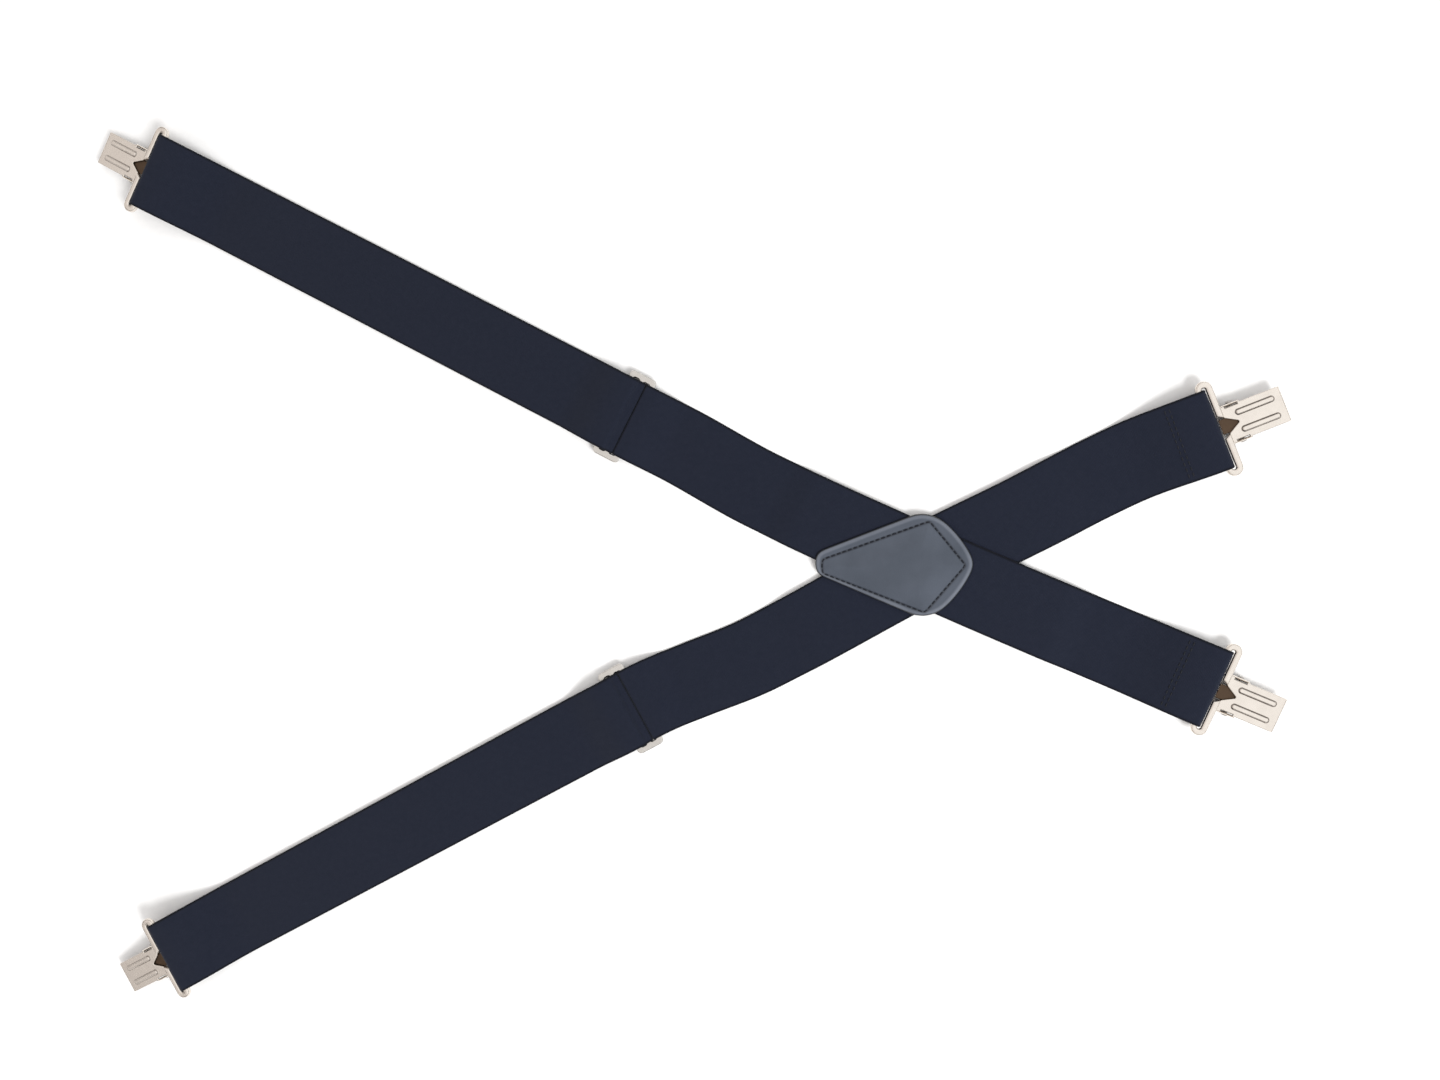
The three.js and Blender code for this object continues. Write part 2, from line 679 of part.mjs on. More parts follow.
// A clip with its bar across the strap at one end and its tip pointing away from the strap.
function addClip(name, { point, heading }, outwards, height, tilt) {
  const clip = new THREE.Group();
  const direction = heading.clone().multiplyScalar(outwards);
  clip.position.set(point.x, point.y, height);
  clip.rotation.set(0, radians(tilt), Math.atan2(direction.y, direction.x), 'ZYX');
  for (const [piece, geometry, material] of clipPieces) {
    const mesh = addPiece(clip, `${name}_${piece}`, geometry, material());
    if (piece === 'rivet') mesh.position.set(leverPinPosition, 0, leverPinHeight);
  }
  suspenders.add(clip);
}

function addStrap(side, layout, crossLevel, backClip) {
  const way = new StrapWay(layout);
  const navy = () => finish(0x2d303c, 0.85, 0);
  addPiece(suspenders, `${side}_strap_run`, strapRun(way, crossLevel), navy());
  addPiece(suspenders, `${side}_strap_loop`, strapLoop(way), navy());
  addPiece(suspenders, `${side}_strap_return`, strapReturn(way), navy());
  const { point, heading } = way.at(way.slide);
  const slide = addPiece(suspenders, `${side}_slide`, slideGeometry(), finish(0xc8c4be, 0.28, 1));
  slide.position.set(point.x, point.y, slideMiddle);
  slide.rotation.z = Math.atan2(heading.y, heading.x);
  addClip(`${side}_front_clip`, way.at(0), -1, frontBarHeight, frontTilt);
  addClip(backClip, way.at(way.length), 1, backBarHeight, 0);
}

addStrap('left', leftStrap, overCross, 'right_back_clip');
addStrap('right', rightStrap, underCross, 'left_back_clip');
addPiece(suspenders, 'cross_patch_outer', patch(0), finish(0x555c67, 0.55, 0));
addPiece(suspenders, 'cross_patch_inner', patch(overCross + layerGap), finish(0x5a616c, 0.5, 0));

export default suspenders;
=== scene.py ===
import json
import math

import bpy
import numpy as np
from mathutils import Matrix, Vector


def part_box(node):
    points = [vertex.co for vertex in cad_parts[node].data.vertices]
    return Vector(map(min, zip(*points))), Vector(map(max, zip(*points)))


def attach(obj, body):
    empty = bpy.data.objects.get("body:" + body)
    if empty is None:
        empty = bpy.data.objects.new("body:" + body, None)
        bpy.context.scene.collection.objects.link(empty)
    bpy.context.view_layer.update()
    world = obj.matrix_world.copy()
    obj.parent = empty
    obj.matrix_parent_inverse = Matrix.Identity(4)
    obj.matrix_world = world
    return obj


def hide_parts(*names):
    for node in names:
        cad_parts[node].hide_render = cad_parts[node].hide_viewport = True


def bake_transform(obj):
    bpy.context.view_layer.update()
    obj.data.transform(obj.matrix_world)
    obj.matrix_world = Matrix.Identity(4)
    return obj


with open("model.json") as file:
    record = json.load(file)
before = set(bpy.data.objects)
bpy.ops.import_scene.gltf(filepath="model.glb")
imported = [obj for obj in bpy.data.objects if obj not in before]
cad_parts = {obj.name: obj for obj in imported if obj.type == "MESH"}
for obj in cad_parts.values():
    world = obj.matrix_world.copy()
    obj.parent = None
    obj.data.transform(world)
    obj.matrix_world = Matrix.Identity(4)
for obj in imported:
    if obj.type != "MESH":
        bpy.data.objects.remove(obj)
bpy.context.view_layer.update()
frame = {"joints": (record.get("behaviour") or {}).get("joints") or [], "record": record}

# ---------------------------------------------------------------- camera
# A short lens looking almost straight down on the suspenders laid flat, a little to the right of
# their middle, so that the front clips are seen from the inner side.

camera_place = Vector((-0.0420, 0.0524, 0.7332))
camera_aim = Vector((-0.1317, 0.0135, 0.0))
camera_ahead = (camera_aim - camera_place).normalized()
camera_right = camera_ahead.cross(Vector((0, 1, 0))).normalized()
camera_up = camera_right.cross(camera_ahead)
camera_data = bpy.data.cameras.new("camera")
camera_data.lens = 28.75
camera_data.sensor_width = 36
camera_data.clip_start = 0.01
camera = bpy.data.objects.new("camera", camera_data)
camera.matrix_world = Matrix.Translation(camera_place) @ Matrix(
    (camera_right, camera_up, -camera_ahead)).transposed().to_4x4()
bpy.context.scene.collection.objects.link(camera)
bpy.context.scene.camera = camera
bpy.context.scene.view_settings.view_transform = "Standard"


# ---------------------------------------------------------------- table and light
# A pale matt table top in a white room with one dark band round its walls. A large soft lamp on the
# right throws short soft shadows to the left and away.

class Tone:
    """A value in a material's node tree. Arithmetic on it adds Math nodes."""

    def __init__(self, tree, socket=None):
        self.tree = tree
        self.socket = socket

    def add(self, kind, settings, sockets, output=0):
        node = self.tree.nodes.new(kind)
        for name, value in settings.items():
            setattr(node, name, value)
        for name, value in sockets.items():
            if isinstance(value, Tone):
                self.tree.links.new(value.socket, node.inputs[name])
            else:
                node.inputs[name].default_value = value
        return Tone(self.tree, node.outputs[output])

    def math(self, operation, *values):
        return self.add("ShaderNodeMath", {"operation": operation}, dict(enumerate(values)))

    def __add__(self, other):
        return self.math("ADD", self, other)

    def __radd__(self, other):
        return self.math("ADD", other, self)

    def __sub__(self, other):
        return self.math("SUBTRACT", self, other)

    def __rsub__(self, other):
        return self.math("SUBTRACT", other, self)

    def __mul__(self, other):
        return self.math("MULTIPLY", self, other)

    def __rmul__(self, other):
        return self.math("MULTIPLY", other, self)

    def wave(self, length):
        """A sine wave along the value, from 0 to 1."""
        return 0.5 + 0.5 * self.math("SINE", self * (2 * math.pi / length))

    def ramp(self, low, high):
        """0 at low and 1 at high, smooth between them."""
        return self.add("ShaderNodeMapRange", {"interpolation_type": "SMOOTHSTEP"},
                        {"Value": self, "From Min": low, "From Max": high})

    def paint(self, dark, light):
        """A colour between two others, each (red, green, blue) or a Tone."""
        pair = [c if isinstance(c, Tone) else (*c, 1) for c in (dark, light)]
        return self.add("ShaderNodeMix", {"data_type": "RGBA"}, {0: self, 6: pair[0], 7: pair[1]}, 2)

    def place(self):
        """Where the point is on the piece, in metres, whatever pose the piece is in."""
        return self.add("ShaderNodeTexCoord", {}, {}, "Object")

    def measure(self, name):
        """A length stored on the piece's points, in metres."""
        return self.add("ShaderNodeAttribute", {"attribute_name": name}, {}, "Fac")

    def noise(self, place, size, detail=2.0, stretch=(1, 1, 1)):
        """Cloudy variation from 0 to 1, its features about size metres across."""
        spread = self.add("ShaderNodeVectorMath", {"operation": "MULTIPLY"}, {0: place, 1: stretch})
        return self.add("ShaderNodeTexNoise", {},
                        {"Vector": spread, "Scale": 1 / size, "Detail": detail})

    def bump(self, height, strength):
        """The surface's normal where a height from 0 to 1 stands strength metres high."""
        return self.add("ShaderNodeBump", {}, {"Height": height, "Distance": strength})


def new_finish(name, colour_of):
    """A material whose shader sockets come from colour_of(tone), a dictionary."""
    material = bpy.data.materials.new(name)
    material.use_nodes = True
    tree = material.node_tree
    tree.nodes.clear()
    tone = Tone(tree)
    shader = tone.add("ShaderNodeBsdfPrincipled", {}, colour_of(tone))
    output = tree.nodes.new("ShaderNodeOutputMaterial")
    tree.links.new(shader.socket, output.inputs["Surface"])
    return material


def table_finish(tone):
    speck = tone.noise(tone.place(), 0.004, 4.0)
    return {"Base Color": speck.paint((0.86, 0.86, 0.86), (0.92, 0.92, 0.915)), "Roughness": 0.8,
            "Specular IOR Level": 0.1}


table_half = 15.0
table_mesh = bpy.data.meshes.new("table_top")
table_mesh.from_pydata([(x * table_half, y * table_half, 0)
                        for x, y in ((-1, -1), (1, -1), (1, 1), (-1, 1))], [], [(0, 1, 2, 3)])
table_mesh.materials.append(new_finish("table_paint", table_finish))
table_top = bpy.data.objects.new("table_top", table_mesh)
bpy.context.scene.collection.objects.link(table_top)

room = bpy.data.worlds.new("room")
room.use_nodes = True
room.node_tree.nodes.clear()
room_tone = Tone(room.node_tree)
room_direction = room_tone.add("ShaderNodeTexCoord", {}, {}, "Generated")
room_across = room_tone.add("ShaderNodeSeparateXYZ", {}, {"Vector": room_direction}, "X")
room_away = room_tone.add("ShaderNodeSeparateXYZ", {}, {"Vector": room_direction}, "Y")
room_height = room_tone.add("ShaderNodeSeparateXYZ", {}, {"Vector": room_direction}, "Z")
ceiling = room_across.ramp(-0.45, 0.35).paint((0.88, 0.84, 0.82), (1.12, 1.12, 1.12))
band = room_away.ramp(-0.4, 0.4).paint((0.02, 0.018, 0.016), (0.20, 0.19, 0.18))
in_band = room_height.ramp(0.10, 0.15) * (1 - room_height.ramp(0.30, 0.50))
room_colour = in_band.paint(ceiling, band)
room_glow = room_tone.add("ShaderNodeBackground", {}, {"Color": room_colour, "Strength": 1.03})
room.node_tree.links.new(room_glow.socket,
                         room.node_tree.nodes.new("ShaderNodeOutputWorld").inputs["Surface"])
bpy.context.scene.world = room


def soft_lamp(name, place, size, power):
    lamp = bpy.data.lights.new(name, "AREA")
    lamp.shape = "DISK"
    lamp.size = size
    lamp.energy = power
    stand = bpy.data.objects.new(name, lamp)
    stand.location = place
    stand.rotation_euler = (camera_aim - Vector(place)).to_track_quat("-Z", "Y").to_euler()
    stand.visible_glossy = False
    bpy.context.scene.collection.objects.link(stand)


soft_lamp("lamp_right", (1.05, -0.95, 1.7), 0.9, 40)


# ---------------------------------------------------------------- webbing
# Each strap is one length of 50 mm elastic webbing, woven in navy black with a firm selvedge. It is
# doubled from the slide to the front clip, and its back end is turned round the back clip's bar.
# It is made here as a back length, which the slide rides on, and a doubled front length.

mm = 0.001
gap = 0.3  # clearance between layers that lie on each other
webbing_width = 50
webbing_thickness = 1.4
loop_radius = 3.0
lift_length = 55
back_tail = 28
back_seam = 20  # from a back clip's bar to the row of stitches
back_lift = 60  # where a strap leaves the table on its way up to a back clip
slide_tail = 16
slide_rise = 28
return_rise = 31
bend_radius = 1.2
cross_rise = 25
patch_thickness = 1.8
patch_left = 70
slide_thickness = 2
mid_bar = 3.6
end_bar = 4

pitch = webbing_thickness + gap
layer_gap = gap + webbing_thickness / 2
on_floor = webbing_thickness / 2
on_first = on_floor + pitch
under_cross = patch_thickness + layer_gap
over_cross = under_cross + pitch
cross_half = patch_left + webbing_width / 4
slide_middle = on_first + layer_gap + slide_thickness / 2
over_bar = slide_middle + slide_thickness / 2 + layer_gap
tail_over_bar = over_bar + pitch
return_over_bar = tail_over_bar + pitch
wrap_side = mid_bar / 2 + layer_gap
run_side = wrap_side + pitch
end_bar_inside = run_side + layer_gap
slide_half = end_bar_inside + end_bar
crest_start = run_side + bend_radius

joints = {joint["name"]: joint for joint in frame["joints"]}


def bar_of(clip):
    """The middle of a clip's bar, in millimetres."""
    return np.array(joints[f"{clip}_clip_swivel"]["pos_m"]) / mm


def slide_of(side):
    low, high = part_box(f"{side}_slide")
    return np.array((low + high) / 2) / mm


class StrapWay:
    """The line that a strap follows on the table, with places measured along it from the front bar."""

    def __init__(self, side, back_clip, straight, middle):
        front = bar_of(f"{side}_front")[:2]
        slide = slide_of(side)[:2]
        back = bar_of(back_clip)[:2]
        ahead = (slide - front) / np.linalg.norm(slide - front)
        knots = [front, slide, slide + ahead * straight, *map(np.array, middle), back]
        headings = []
        for i in range(len(knots)):
            chord = knots[min(i + 1, len(knots) - 1)] - knots[max(i - 1, 0)]
            headings.append(chord / np.linalg.norm(chord))
        headings[1] = headings[2] = ahead
        share = np.linspace(0, 1, 80)[:, None]
        stretches = []
        for a, b, out, into in zip(knots, knots[1:], headings, headings[1:]):
            arm = np.linalg.norm(b - a) / 3
            stretches.append((1 - share) ** 3 * a + 3 * (1 - share) ** 2 * share * (a + out * arm)
                             + 3 * (1 - share) * share ** 2 * (b - into * arm) + share ** 3 * b)
        ends = np.cumsum([np.linalg.norm(np.diff(s, axis=0), axis=1).sum() for s in stretches])
        line = np.vstack([stretches[0]] + [s[1:] for s in stretches[1:]])
        self.line = line
        self.distance = np.r_[0, np.cumsum(np.linalg.norm(np.diff(line, axis=0), axis=1))]
        self.heading = np.gradient(line, self.distance, axis=0)
        self.heading /= np.linalg.norm(self.heading, axis=1)[:, None]
        self.length = self.distance[-1]
        self.slide = ends[0]
        self.cross = ends[2 + next(i for i, p in enumerate(middle) if np.hypot(*p) < 5)]
        self.front_height = bar_of(f"{side}_front")[2]
        self.back_height = bar_of(back_clip)[2]

    def at(self, distance):
        """Points and headings at distances along the way, straight on beyond its ends."""
        distance = np.asarray(distance, float)
        inside = np.clip(distance, 0, self.length)
        heading = np.stack([np.interp(inside, self.distance, self.heading[:, k]) for k in (0, 1)], -1)
        heading /= np.linalg.norm(heading, axis=-1)[..., None]
        point = np.stack([np.interp(inside, self.distance, self.line[:, k]) for k in (0, 1)], -1)
        return point + heading * (distance - inside)[..., None], heading

    def spot(self, distance, across=0, height=0):
        """A point in the frame, in metres."""
        point, heading = self.at(distance)
        side = np.array((heading[1], -heading[0]))
        return Vector((*(point + side * across), height)) * mm


ways = {
    "left": StrapWay("left", "right_back", slide_half + slide_rise, [(-104, 45.0), (0, -2.5), (88, -40)]),
    "right": StrapWay("right", "left_back", slide_half, [
        (-150, -78.2), (-106, -59.4), (0, 0.3), (52.5, 26.9), (121.6, 62.8)]),
}


def level(begin, stop, height):
    steps = max(1, math.ceil(abs(stop - begin) / 4))
    return [(begin + (stop - begin) * i / steps, height) for i in range(steps + 1)]


def rise(start, end, begin=None, stop=None):
    """A smooth climb from start to end, or the part of it from begin to stop."""
    begin = start[0] if begin is None else begin
    stop = end[0] if stop is None else stop
    steps = max(2, math.ceil(abs(stop - begin) / 1.5))
    points = []
    for i in range(steps + 1):
        x = begin + (stop - begin) * i / steps
        share = min(max((x - start[0]) / (end[0] - start[0]), 0), 1)
        points.append((x, start[1] + (end[1] - start[1]) * (1 - math.cos(math.pi * share)) / 2))
    return points


def turn(x, z, radius, begin, stop):
    steps = max(3, math.ceil(abs(stop - begin) / 9))
    angles = [math.radians(begin + (stop - begin) * i / steps) for i in range(steps + 1)]
    return [(x + radius * math.cos(a), z + radius * math.sin(a)) for a in angles]


def add_piece(name, points, faces, finish, smooth=True, measures=None):
    """A piece from points in millimetres, with a finish and lengths stored on its points."""
    mesh = bpy.data.meshes.new(name)
    mesh.from_pydata((np.asarray(points, float) * mm).tolist(), [], faces)
    mesh.polygons.foreach_set("use_smooth", [smooth] * len(mesh.polygons))
    for key, values in (measures or {}).items():
        attribute = mesh.attributes.new(key, "FLOAT", "POINT")
        attribute.data.foreach_set("value", (np.asarray(values, float) * mm).astype(np.float32))
    mesh.materials.append(finish)
    mesh.validate()
    piece = bpy.data.objects.new(name, mesh)
    bpy.context.scene.collection.objects.link(piece)
    return piece


def webbing_section():
    """The webbing cut across: flat, with a shallow groove inside each rounded selvedge."""
    half = [(0, 0.70), (5, 0.70), (10, 0.70), (15, 0.70), (19, 0.70), (21.5, 0.69), (22.6, 0.63),
            (23.2, 0.60), (23.8, 0.66), (24.3, 0.67), (24.7, 0.52), (24.93, 0.28)]
    upper = [(-y, h) for y, h in reversed(half[1:])] + half
    edge = (webbing_width / 2, 0)
    lower = [(y, -h) for y, h in reversed(upper)]
    return np.array(upper + [edge] + lower + [(-edge[0], 0)])


def lay_webbing(name, way, path, finish):
    """Webbing whose middle follows a side view of (distance, height) points along a way."""
    path = np.array(path)
    path = path[np.r_[True, np.linalg.norm(np.diff(path, axis=0), axis=1) > 0.02]]
    step = np.diff(path, axis=0)
    reach = np.linalg.norm(step, axis=1)
    step /= reach[:, None]
    along = np.r_[0, np.cumsum(reach)]
    tangent = np.vstack([step[:1], step[:-1] + step[1:], step[-1:]])
    tangent /= np.linalg.norm(tangent, axis=1)[:, None]
    section = webbing_section()
    count = len(section)
    distance = path[:, :1] - tangent[:, 1:] * section[None, :, 1]
    height = path[:, 1:] + tangent[:, :1] * section[None, :, 1]
    point, heading = way.at(distance)
    side = np.stack([heading[..., 1], -heading[..., 0]], -1)
    flat = point + side * section[None, :, :1]
    points = np.concatenate([flat, height[..., None]], -1).reshape(-1, 3)
    faces = []
    for i in range(len(path) - 1):
        for k in range(count):
            after = (k + 1) % count
            faces.append((i * count + k, (i + 1) * count + k, (i + 1) * count + after, i * count + after))
    faces.append(tuple(range(count)))
    faces.append(tuple(reversed(range((len(path) - 1) * count, len(path) * count))))
    piece = add_piece(name, points, faces, finish, measures={
        "along": np.repeat(along, count),
        "across": np.tile(section[:, 0], len(path)),
    })
    return piece, along[-1]


def webbing_finish(tone):
    along = tone.measure("along")
    across = tone.measure("across")
    warp = across.wave(1.1 * mm)
    weft = (along + warp * (0.15 * mm)).wave(0.9 * mm)
    weave = warp * weft + (1 - warp) * (1 - weft)
    place = tone.place()
    fluff = tone.noise(place, 0.0008, 3.0)
    slub = tone.noise(place, 0.0035, 4.0)
    cloud = tone.noise(place, 0.05, 2.0) * 0.35 + (slub - 0.5) * 1.5 + 0.35
    dusty = cloud.paint((0.0120, 0.0160, 0.0305), (0.0170, 0.0210, 0.0370))
    threads = (weave * 0.55 + fluff * 0.45).paint((0.0050, 0.0066, 0.0130), dusty)
    # The webbing is painted much darker within 2 mm of each edge.
    from_edge = 25 * mm - across.math("ABSOLUTE", across)
    edge_darkening = from_edge.ramp(0.6 * mm, 2.0 * mm)
    return {"Base Color": edge_darkening.paint((0.004, 0.005, 0.009), threads),
            "Roughness": 0.78 + 0.12 * fluff, "Specular IOR Level": 0.14,
            "Sheen Weight": 0.04, "Sheen Roughness": 0.6,
            "Normal": tone.bump(weave * 0.7 + fluff * 0.5, 0.00012)}


navy_webbing = new_finish("navy_webbing", webbing_finish)


def back_rise(way, begin, stop):
    """The upper layer's climb from the table to the bar of the back clip, or a part of it."""
    return rise((way.length - back_lift, on_floor), (way.length, way.back_height + loop_radius), begin, stop)


def back_length(side, way, cross_level):
    """From the sewn back end round the back clip, over the crossing and through the slide."""
    slide, cross, end = way.slide, way.cross, way.length
    seam = end - back_seam
    turn_height = over_bar - bend_radius
    drop = on_floor + bend_radius
    inner = run_side - bend_radius
    tail = [(x, z - pitch) for x, z in back_rise(way, end - back_tail, seam)]
    path = [
        *tail,
        *rise(tail[-1], (end, way.back_height - loop_radius)),
        *turn(end, way.back_height, loop_radius, -90, 90),
        *back_rise(way, end, end - back_lift),
        *level(end - back_lift, cross + cross_half + cross_rise, on_floor),
        *rise((cross + cross_half + cross_rise, on_floor), (cross + cross_half, cross_level)),
        *level(cross + cross_half, cross - cross_half, cross_level),
        *rise((cross - cross_half, cross_level), (cross - cross_half - cross_rise, on_floor)),
        *level(cross - cross_half - cross_rise, slide + slide_half + slide_rise, on_floor),
        *rise((slide + slide_half + slide_rise, on_floor), (slide + slide_half, over_bar)),
        *turn(slide + crest_start, turn_height, bend_radius, 90, 180),
        *turn(slide + inner, drop, bend_radius, 0, -90),
        *turn(slide - inner, drop, bend_radius, -90, -180),
        *turn(slide - crest_start, turn_height, bend_radius, 0, 90),
        (slide - slide_half, over_bar),
    ]
    piece, length = lay_webbing(f"{side}_webbing_back", way, path, navy_webbing)
    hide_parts(f"{side}_strap_run")
    way.spot(cross - patch_left + 8)
    way.spot(slide + slide_half + slide_rise)
    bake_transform(piece)


def front_length(side, way):
    """From the slide to the front clip, round its bar, back over the slide and round its middle bar."""
    slide = way.slide
    bar_side = mid_bar / 2
    low = slide_middle - slide_thickness / 2
    high = slide_middle + slide_thickness / 2
    tail_bend = wrap_side + bend_radius
    outer_radius = bend_radius + pitch
    fall = return_over_bar - over_bar
    angle = 2 * math.degrees(math.atan(fall / (bar_side + tail_bend)))
    inner_radius = fall / (1 - math.cos(math.radians(angle))) - outer_radius
    foot = slide - slide_half - slide_rise
    path = [
        *rise((slide - slide_half, over_bar), (foot, on_floor)),
        *level(foot, lift_length, on_floor),
        *rise((lift_length, on_floor), (0, way.front_height - loop_radius)),
        *turn(0, way.front_height, loop_radius, 270, 90),
        *rise((0, way.front_height + loop_radius), (lift_length, on_first)),
        *level(lift_length, slide - slide_half - return_rise, on_first),
        *rise((slide - slide_half - return_rise, on_first), (slide - slide_half, return_over_bar)),
        *turn(slide - tail_bend, return_over_bar - outer_radius, outer_radius, 90, 90 - angle),
        *turn(slide + bar_side, over_bar + inner_radius, inner_radius, 270 - angle, 270),
        *turn(slide + bar_side, high, layer_gap, 90, 0),
        *turn(slide + bar_side, low, layer_gap, 0, -90),
        *turn(slide - bar_side, low, layer_gap, 270, 180),
        *turn(slide - tail_bend, tail_over_bar - bend_radius, bend_radius, 0, 90),
        *rise((slide - slide_half, tail_over_bar), (foot, on_first),
              slide - slide_half, slide - slide_tail),
    ]
    piece, length = lay_webbing(f"{side}_webbing_front", way, path, navy_webbing)
    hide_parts(f"{side}_strap_return", f"{side}_strap_loop")
    way.spot(slide - slide_half - return_rise)
    way.spot(lift_length)
    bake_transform(piece)


back_length("left", ways["left"], over_cross)
back_length("right", ways["right"], under_cross)
front_length("left", ways["left"])
front_length("right", ways["right"])


# ---------------------------------------------------------------- seams at the back clips
# The turned back end of each strap is sewn down by two rows of black thread right across the webbing,
# 20 mm from the fold.

thread_radius = 0.42
stitch_length = 2.7
stitch_space = 1.0


def thread_finish(tone):
    ply = tone.noise(tone.place(), 0.0005, 2.0)
    return {"Base Color": ply.paint((0.004, 0.005, 0.008), (0.020, 0.022, 0.030)),
            "Roughness": 0.6, "Specular IOR Level": 0.3}


black_thread = new_finish("black_thread", thread_finish)


def sew(name, stitches, body):
    """A row of stitches, each from one point to another, bowed up a little along its normal."""
    points = []
    faces = []
    rings = [(-0.5, 0.35, -0.25), (-0.42, 0.75, -0.08), (-0.2, 1.0, 0.0), (0.2, 1.0, 0.0),
             (0.42, 0.75, -0.08), (0.5, 0.35, -0.25)]
    sides = 8
    for begin, stop, up in stitches:
        begin, stop, up = (np.asarray(v, float) for v in (begin, stop, up))
        along = stop - begin
        up = up - along * (up @ along) / (along @ along)
        up /= np.linalg.norm(up)
        side = np.cross(along / np.linalg.norm(along), up)
        first = len(points)
        for place, swell, sink in rings:
            middle = (begin + stop) / 2 + along * place + up * sink
            for k in range(sides):
                angle = 2 * math.pi * k / sides
                points.append(middle + thread_radius * swell * (math.cos(angle) * side + math.sin(angle) * up))
        for i in range(len(rings) - 1):
            for k in range(sides):
                a = first + i * sides + k
                b = first + i * sides + (k + 1) % sides
                faces.append((a, b, b + sides, a + sides))
        faces.append(tuple(reversed(range(first, first + sides))))
        faces.append(tuple(range(first + (len(rings) - 1) * sides, first + len(rings) * sides)))
    piece = add_piece(name, points, faces, black_thread)
    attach(piece, body)
    return piece


def back_seam_rows(clip, way):
    stitches = []
    spacing = stitch_length + stitch_space
    count = int((webbing_width - 4) / spacing)
    for offset in (0, 2.6):
        place = way.length - back_seam - offset
        top = back_rise(way, place, place)[0][1] + webbing_thickness / 2 + 0.08
        for k in range(count):
            middle = (k - (count - 1) / 2) * spacing
            ends = [np.array(way.spot(place, middle + s * stitch_length / 2, top)) / mm for s in (-1, 1)]
            stitches.append((*ends, (0, 0, 1)))
    sew(f"{clip}_seam", stitches, "harness")


back_seam_rows("right_back", ways["left"])
back_seam_rows("left_back", ways["right"])


# ---------------------------------------------------------------- slides
# A three-bar slide is cast and nickel plated, with soft edges. The webbing hides its bars, and its two
# ends stand out beside the strap.

slide_ends = 4.15
slot_clearance = 0.25


def rounded_box(length, width, corner, middle=(0, 0)):
    """The outline of a rectangle with rounded corners."""
    outline = []
    for quarter, (a, b) in enumerate(((1, 1), (-1, 1), (-1, -1), (1, -1))):
        for i in range(9):
            angle = math.radians(90 * quarter + 90 * i / 8)
            outline.append((middle[0] + a * (length / 2 - corner) + corner * math.cos(angle),
                            middle[1] + b * (width / 2 - corner) + corner * math.sin(angle)))
    return outline


def pressed_mesh(outlines, thickness, edge):
    """Points and faces of sheet or cast metal with these outlines and rounded edges, lying in z = 0."""
    curve = bpy.data.curves.new("outline", "CURVE")
    curve.dimensions = "2D"
    curve.fill_mode = "BOTH"
    curve.extrude = thickness / 2 - edge
    curve.bevel_depth = edge
    curve.bevel_resolution = 3
    curve.offset = -edge
    for outline in outlines:
        spline = curve.splines.new("POLY")
        spline.points.add(len(outline) - 1)
        for point, (x, y) in zip(spline.points, outline):
            point.co = (x, y, 0, 1)
        spline.use_cyclic_u = True
    holder = bpy.data.objects.new("outline", curve)
    bpy.context.scene.collection.objects.link(holder)
    bpy.context.view_layer.update()
    mesh = bpy.data.meshes.new_from_object(holder.evaluated_get(bpy.context.evaluated_depsgraph_get()))
    points = np.array([v.co for v in mesh.vertices])
    faces = [tuple(p.vertices) for p in mesh.polygons]
    bpy.data.objects.remove(holder)
    bpy.data.curves.remove(curve)
    bpy.data.meshes.remove(mesh)
    return points, faces


def gather(parts):
    """Several (points, faces) as one."""
    points = []
    faces = []
    for part_points, part_faces in parts:
        first = sum(len(p) for p in points)
        points.append(np.asarray(part_points, float))
        faces += [tuple(first + i for i in face) for face in part_faces]
    return np.vstack(points), faces


def metal_piece(name, shape, place, finish, node, body, measures=None):
    """A metal piece in place of a CAD node, from points in its own frame and a matrix in millimetres."""
    points, faces = shape
    moved = points @ np.array(place.to_3x3()).T + np.array(place.translation)
    piece = add_piece(name, moved, faces, finish, measures=measures)
    piece.data.set_sharp_from_angle(angle=math.radians(35))
    for face in piece.data.polygons:
        face.use_smooth = face.area < 1.6 * mm * mm
    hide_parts(node)
    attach(piece, body)
    return piece


def nickel(warm, cloudy, smooth, rough):
    """Nickel plate: two close greys, with soft handling marks and fine polishing lines."""
    def finish(tone):
        place = tone.place()
        marks = tone.noise(place, 0.006, 4.0)
        lines = tone.noise(place, 0.0006, 2.0, (1, 0.15, 1))
        return {"Base Color": marks.paint(cloudy, warm), "Metallic": 1.0,
                "Roughness": marks * (rough - smooth) + lines * 0.08 + smooth,
                "Normal": tone.bump(lines * 0.5 + marks, 0.00004)}
    return finish


slide_nickel = new_finish("slide_nickel", nickel((0.74, 0.72, 0.68), (0.60, 0.58, 0.55), 0.14, 0.30))


def add_slide(side):
    slot_width = end_bar_inside - mid_bar / 2
    slot_length = webbing_width + 2 * slot_clearance
    outlines = [rounded_box(2 * slide_half, slot_length + 2 * slide_ends, 3)]
    for where in (-1, 1):
        outlines.append(rounded_box(slot_width, slot_length, 1, (where * (mid_bar + slot_width) / 2, 0)))
    way = ways[side]
    point, heading = way.at(way.slide)
    place = Matrix.Translation((*point, slide_middle)) @ Matrix.Rotation(
        math.atan2(heading[1], heading[0]), 4, "Z")
    metal_piece(f"{side}_slide_metal", pressed_mesh(outlines, slide_thickness, 0.85), place, slide_nickel,
                f"{side}_slide", f"{side}_adjuster")


add_slide("left")
add_slide("right")


# ---------------------------------------------------------------- clips
# Each clip is stamped from nickel-plated steel: a round-cornered frame that the webbing turns round, a
# plate with two pressed ribs and a notch, ears bent down at its sides and a toothed lip at its tip.
# A toothed jaw, a cam lever on a rivet and a bronze leaf spring sit under it.

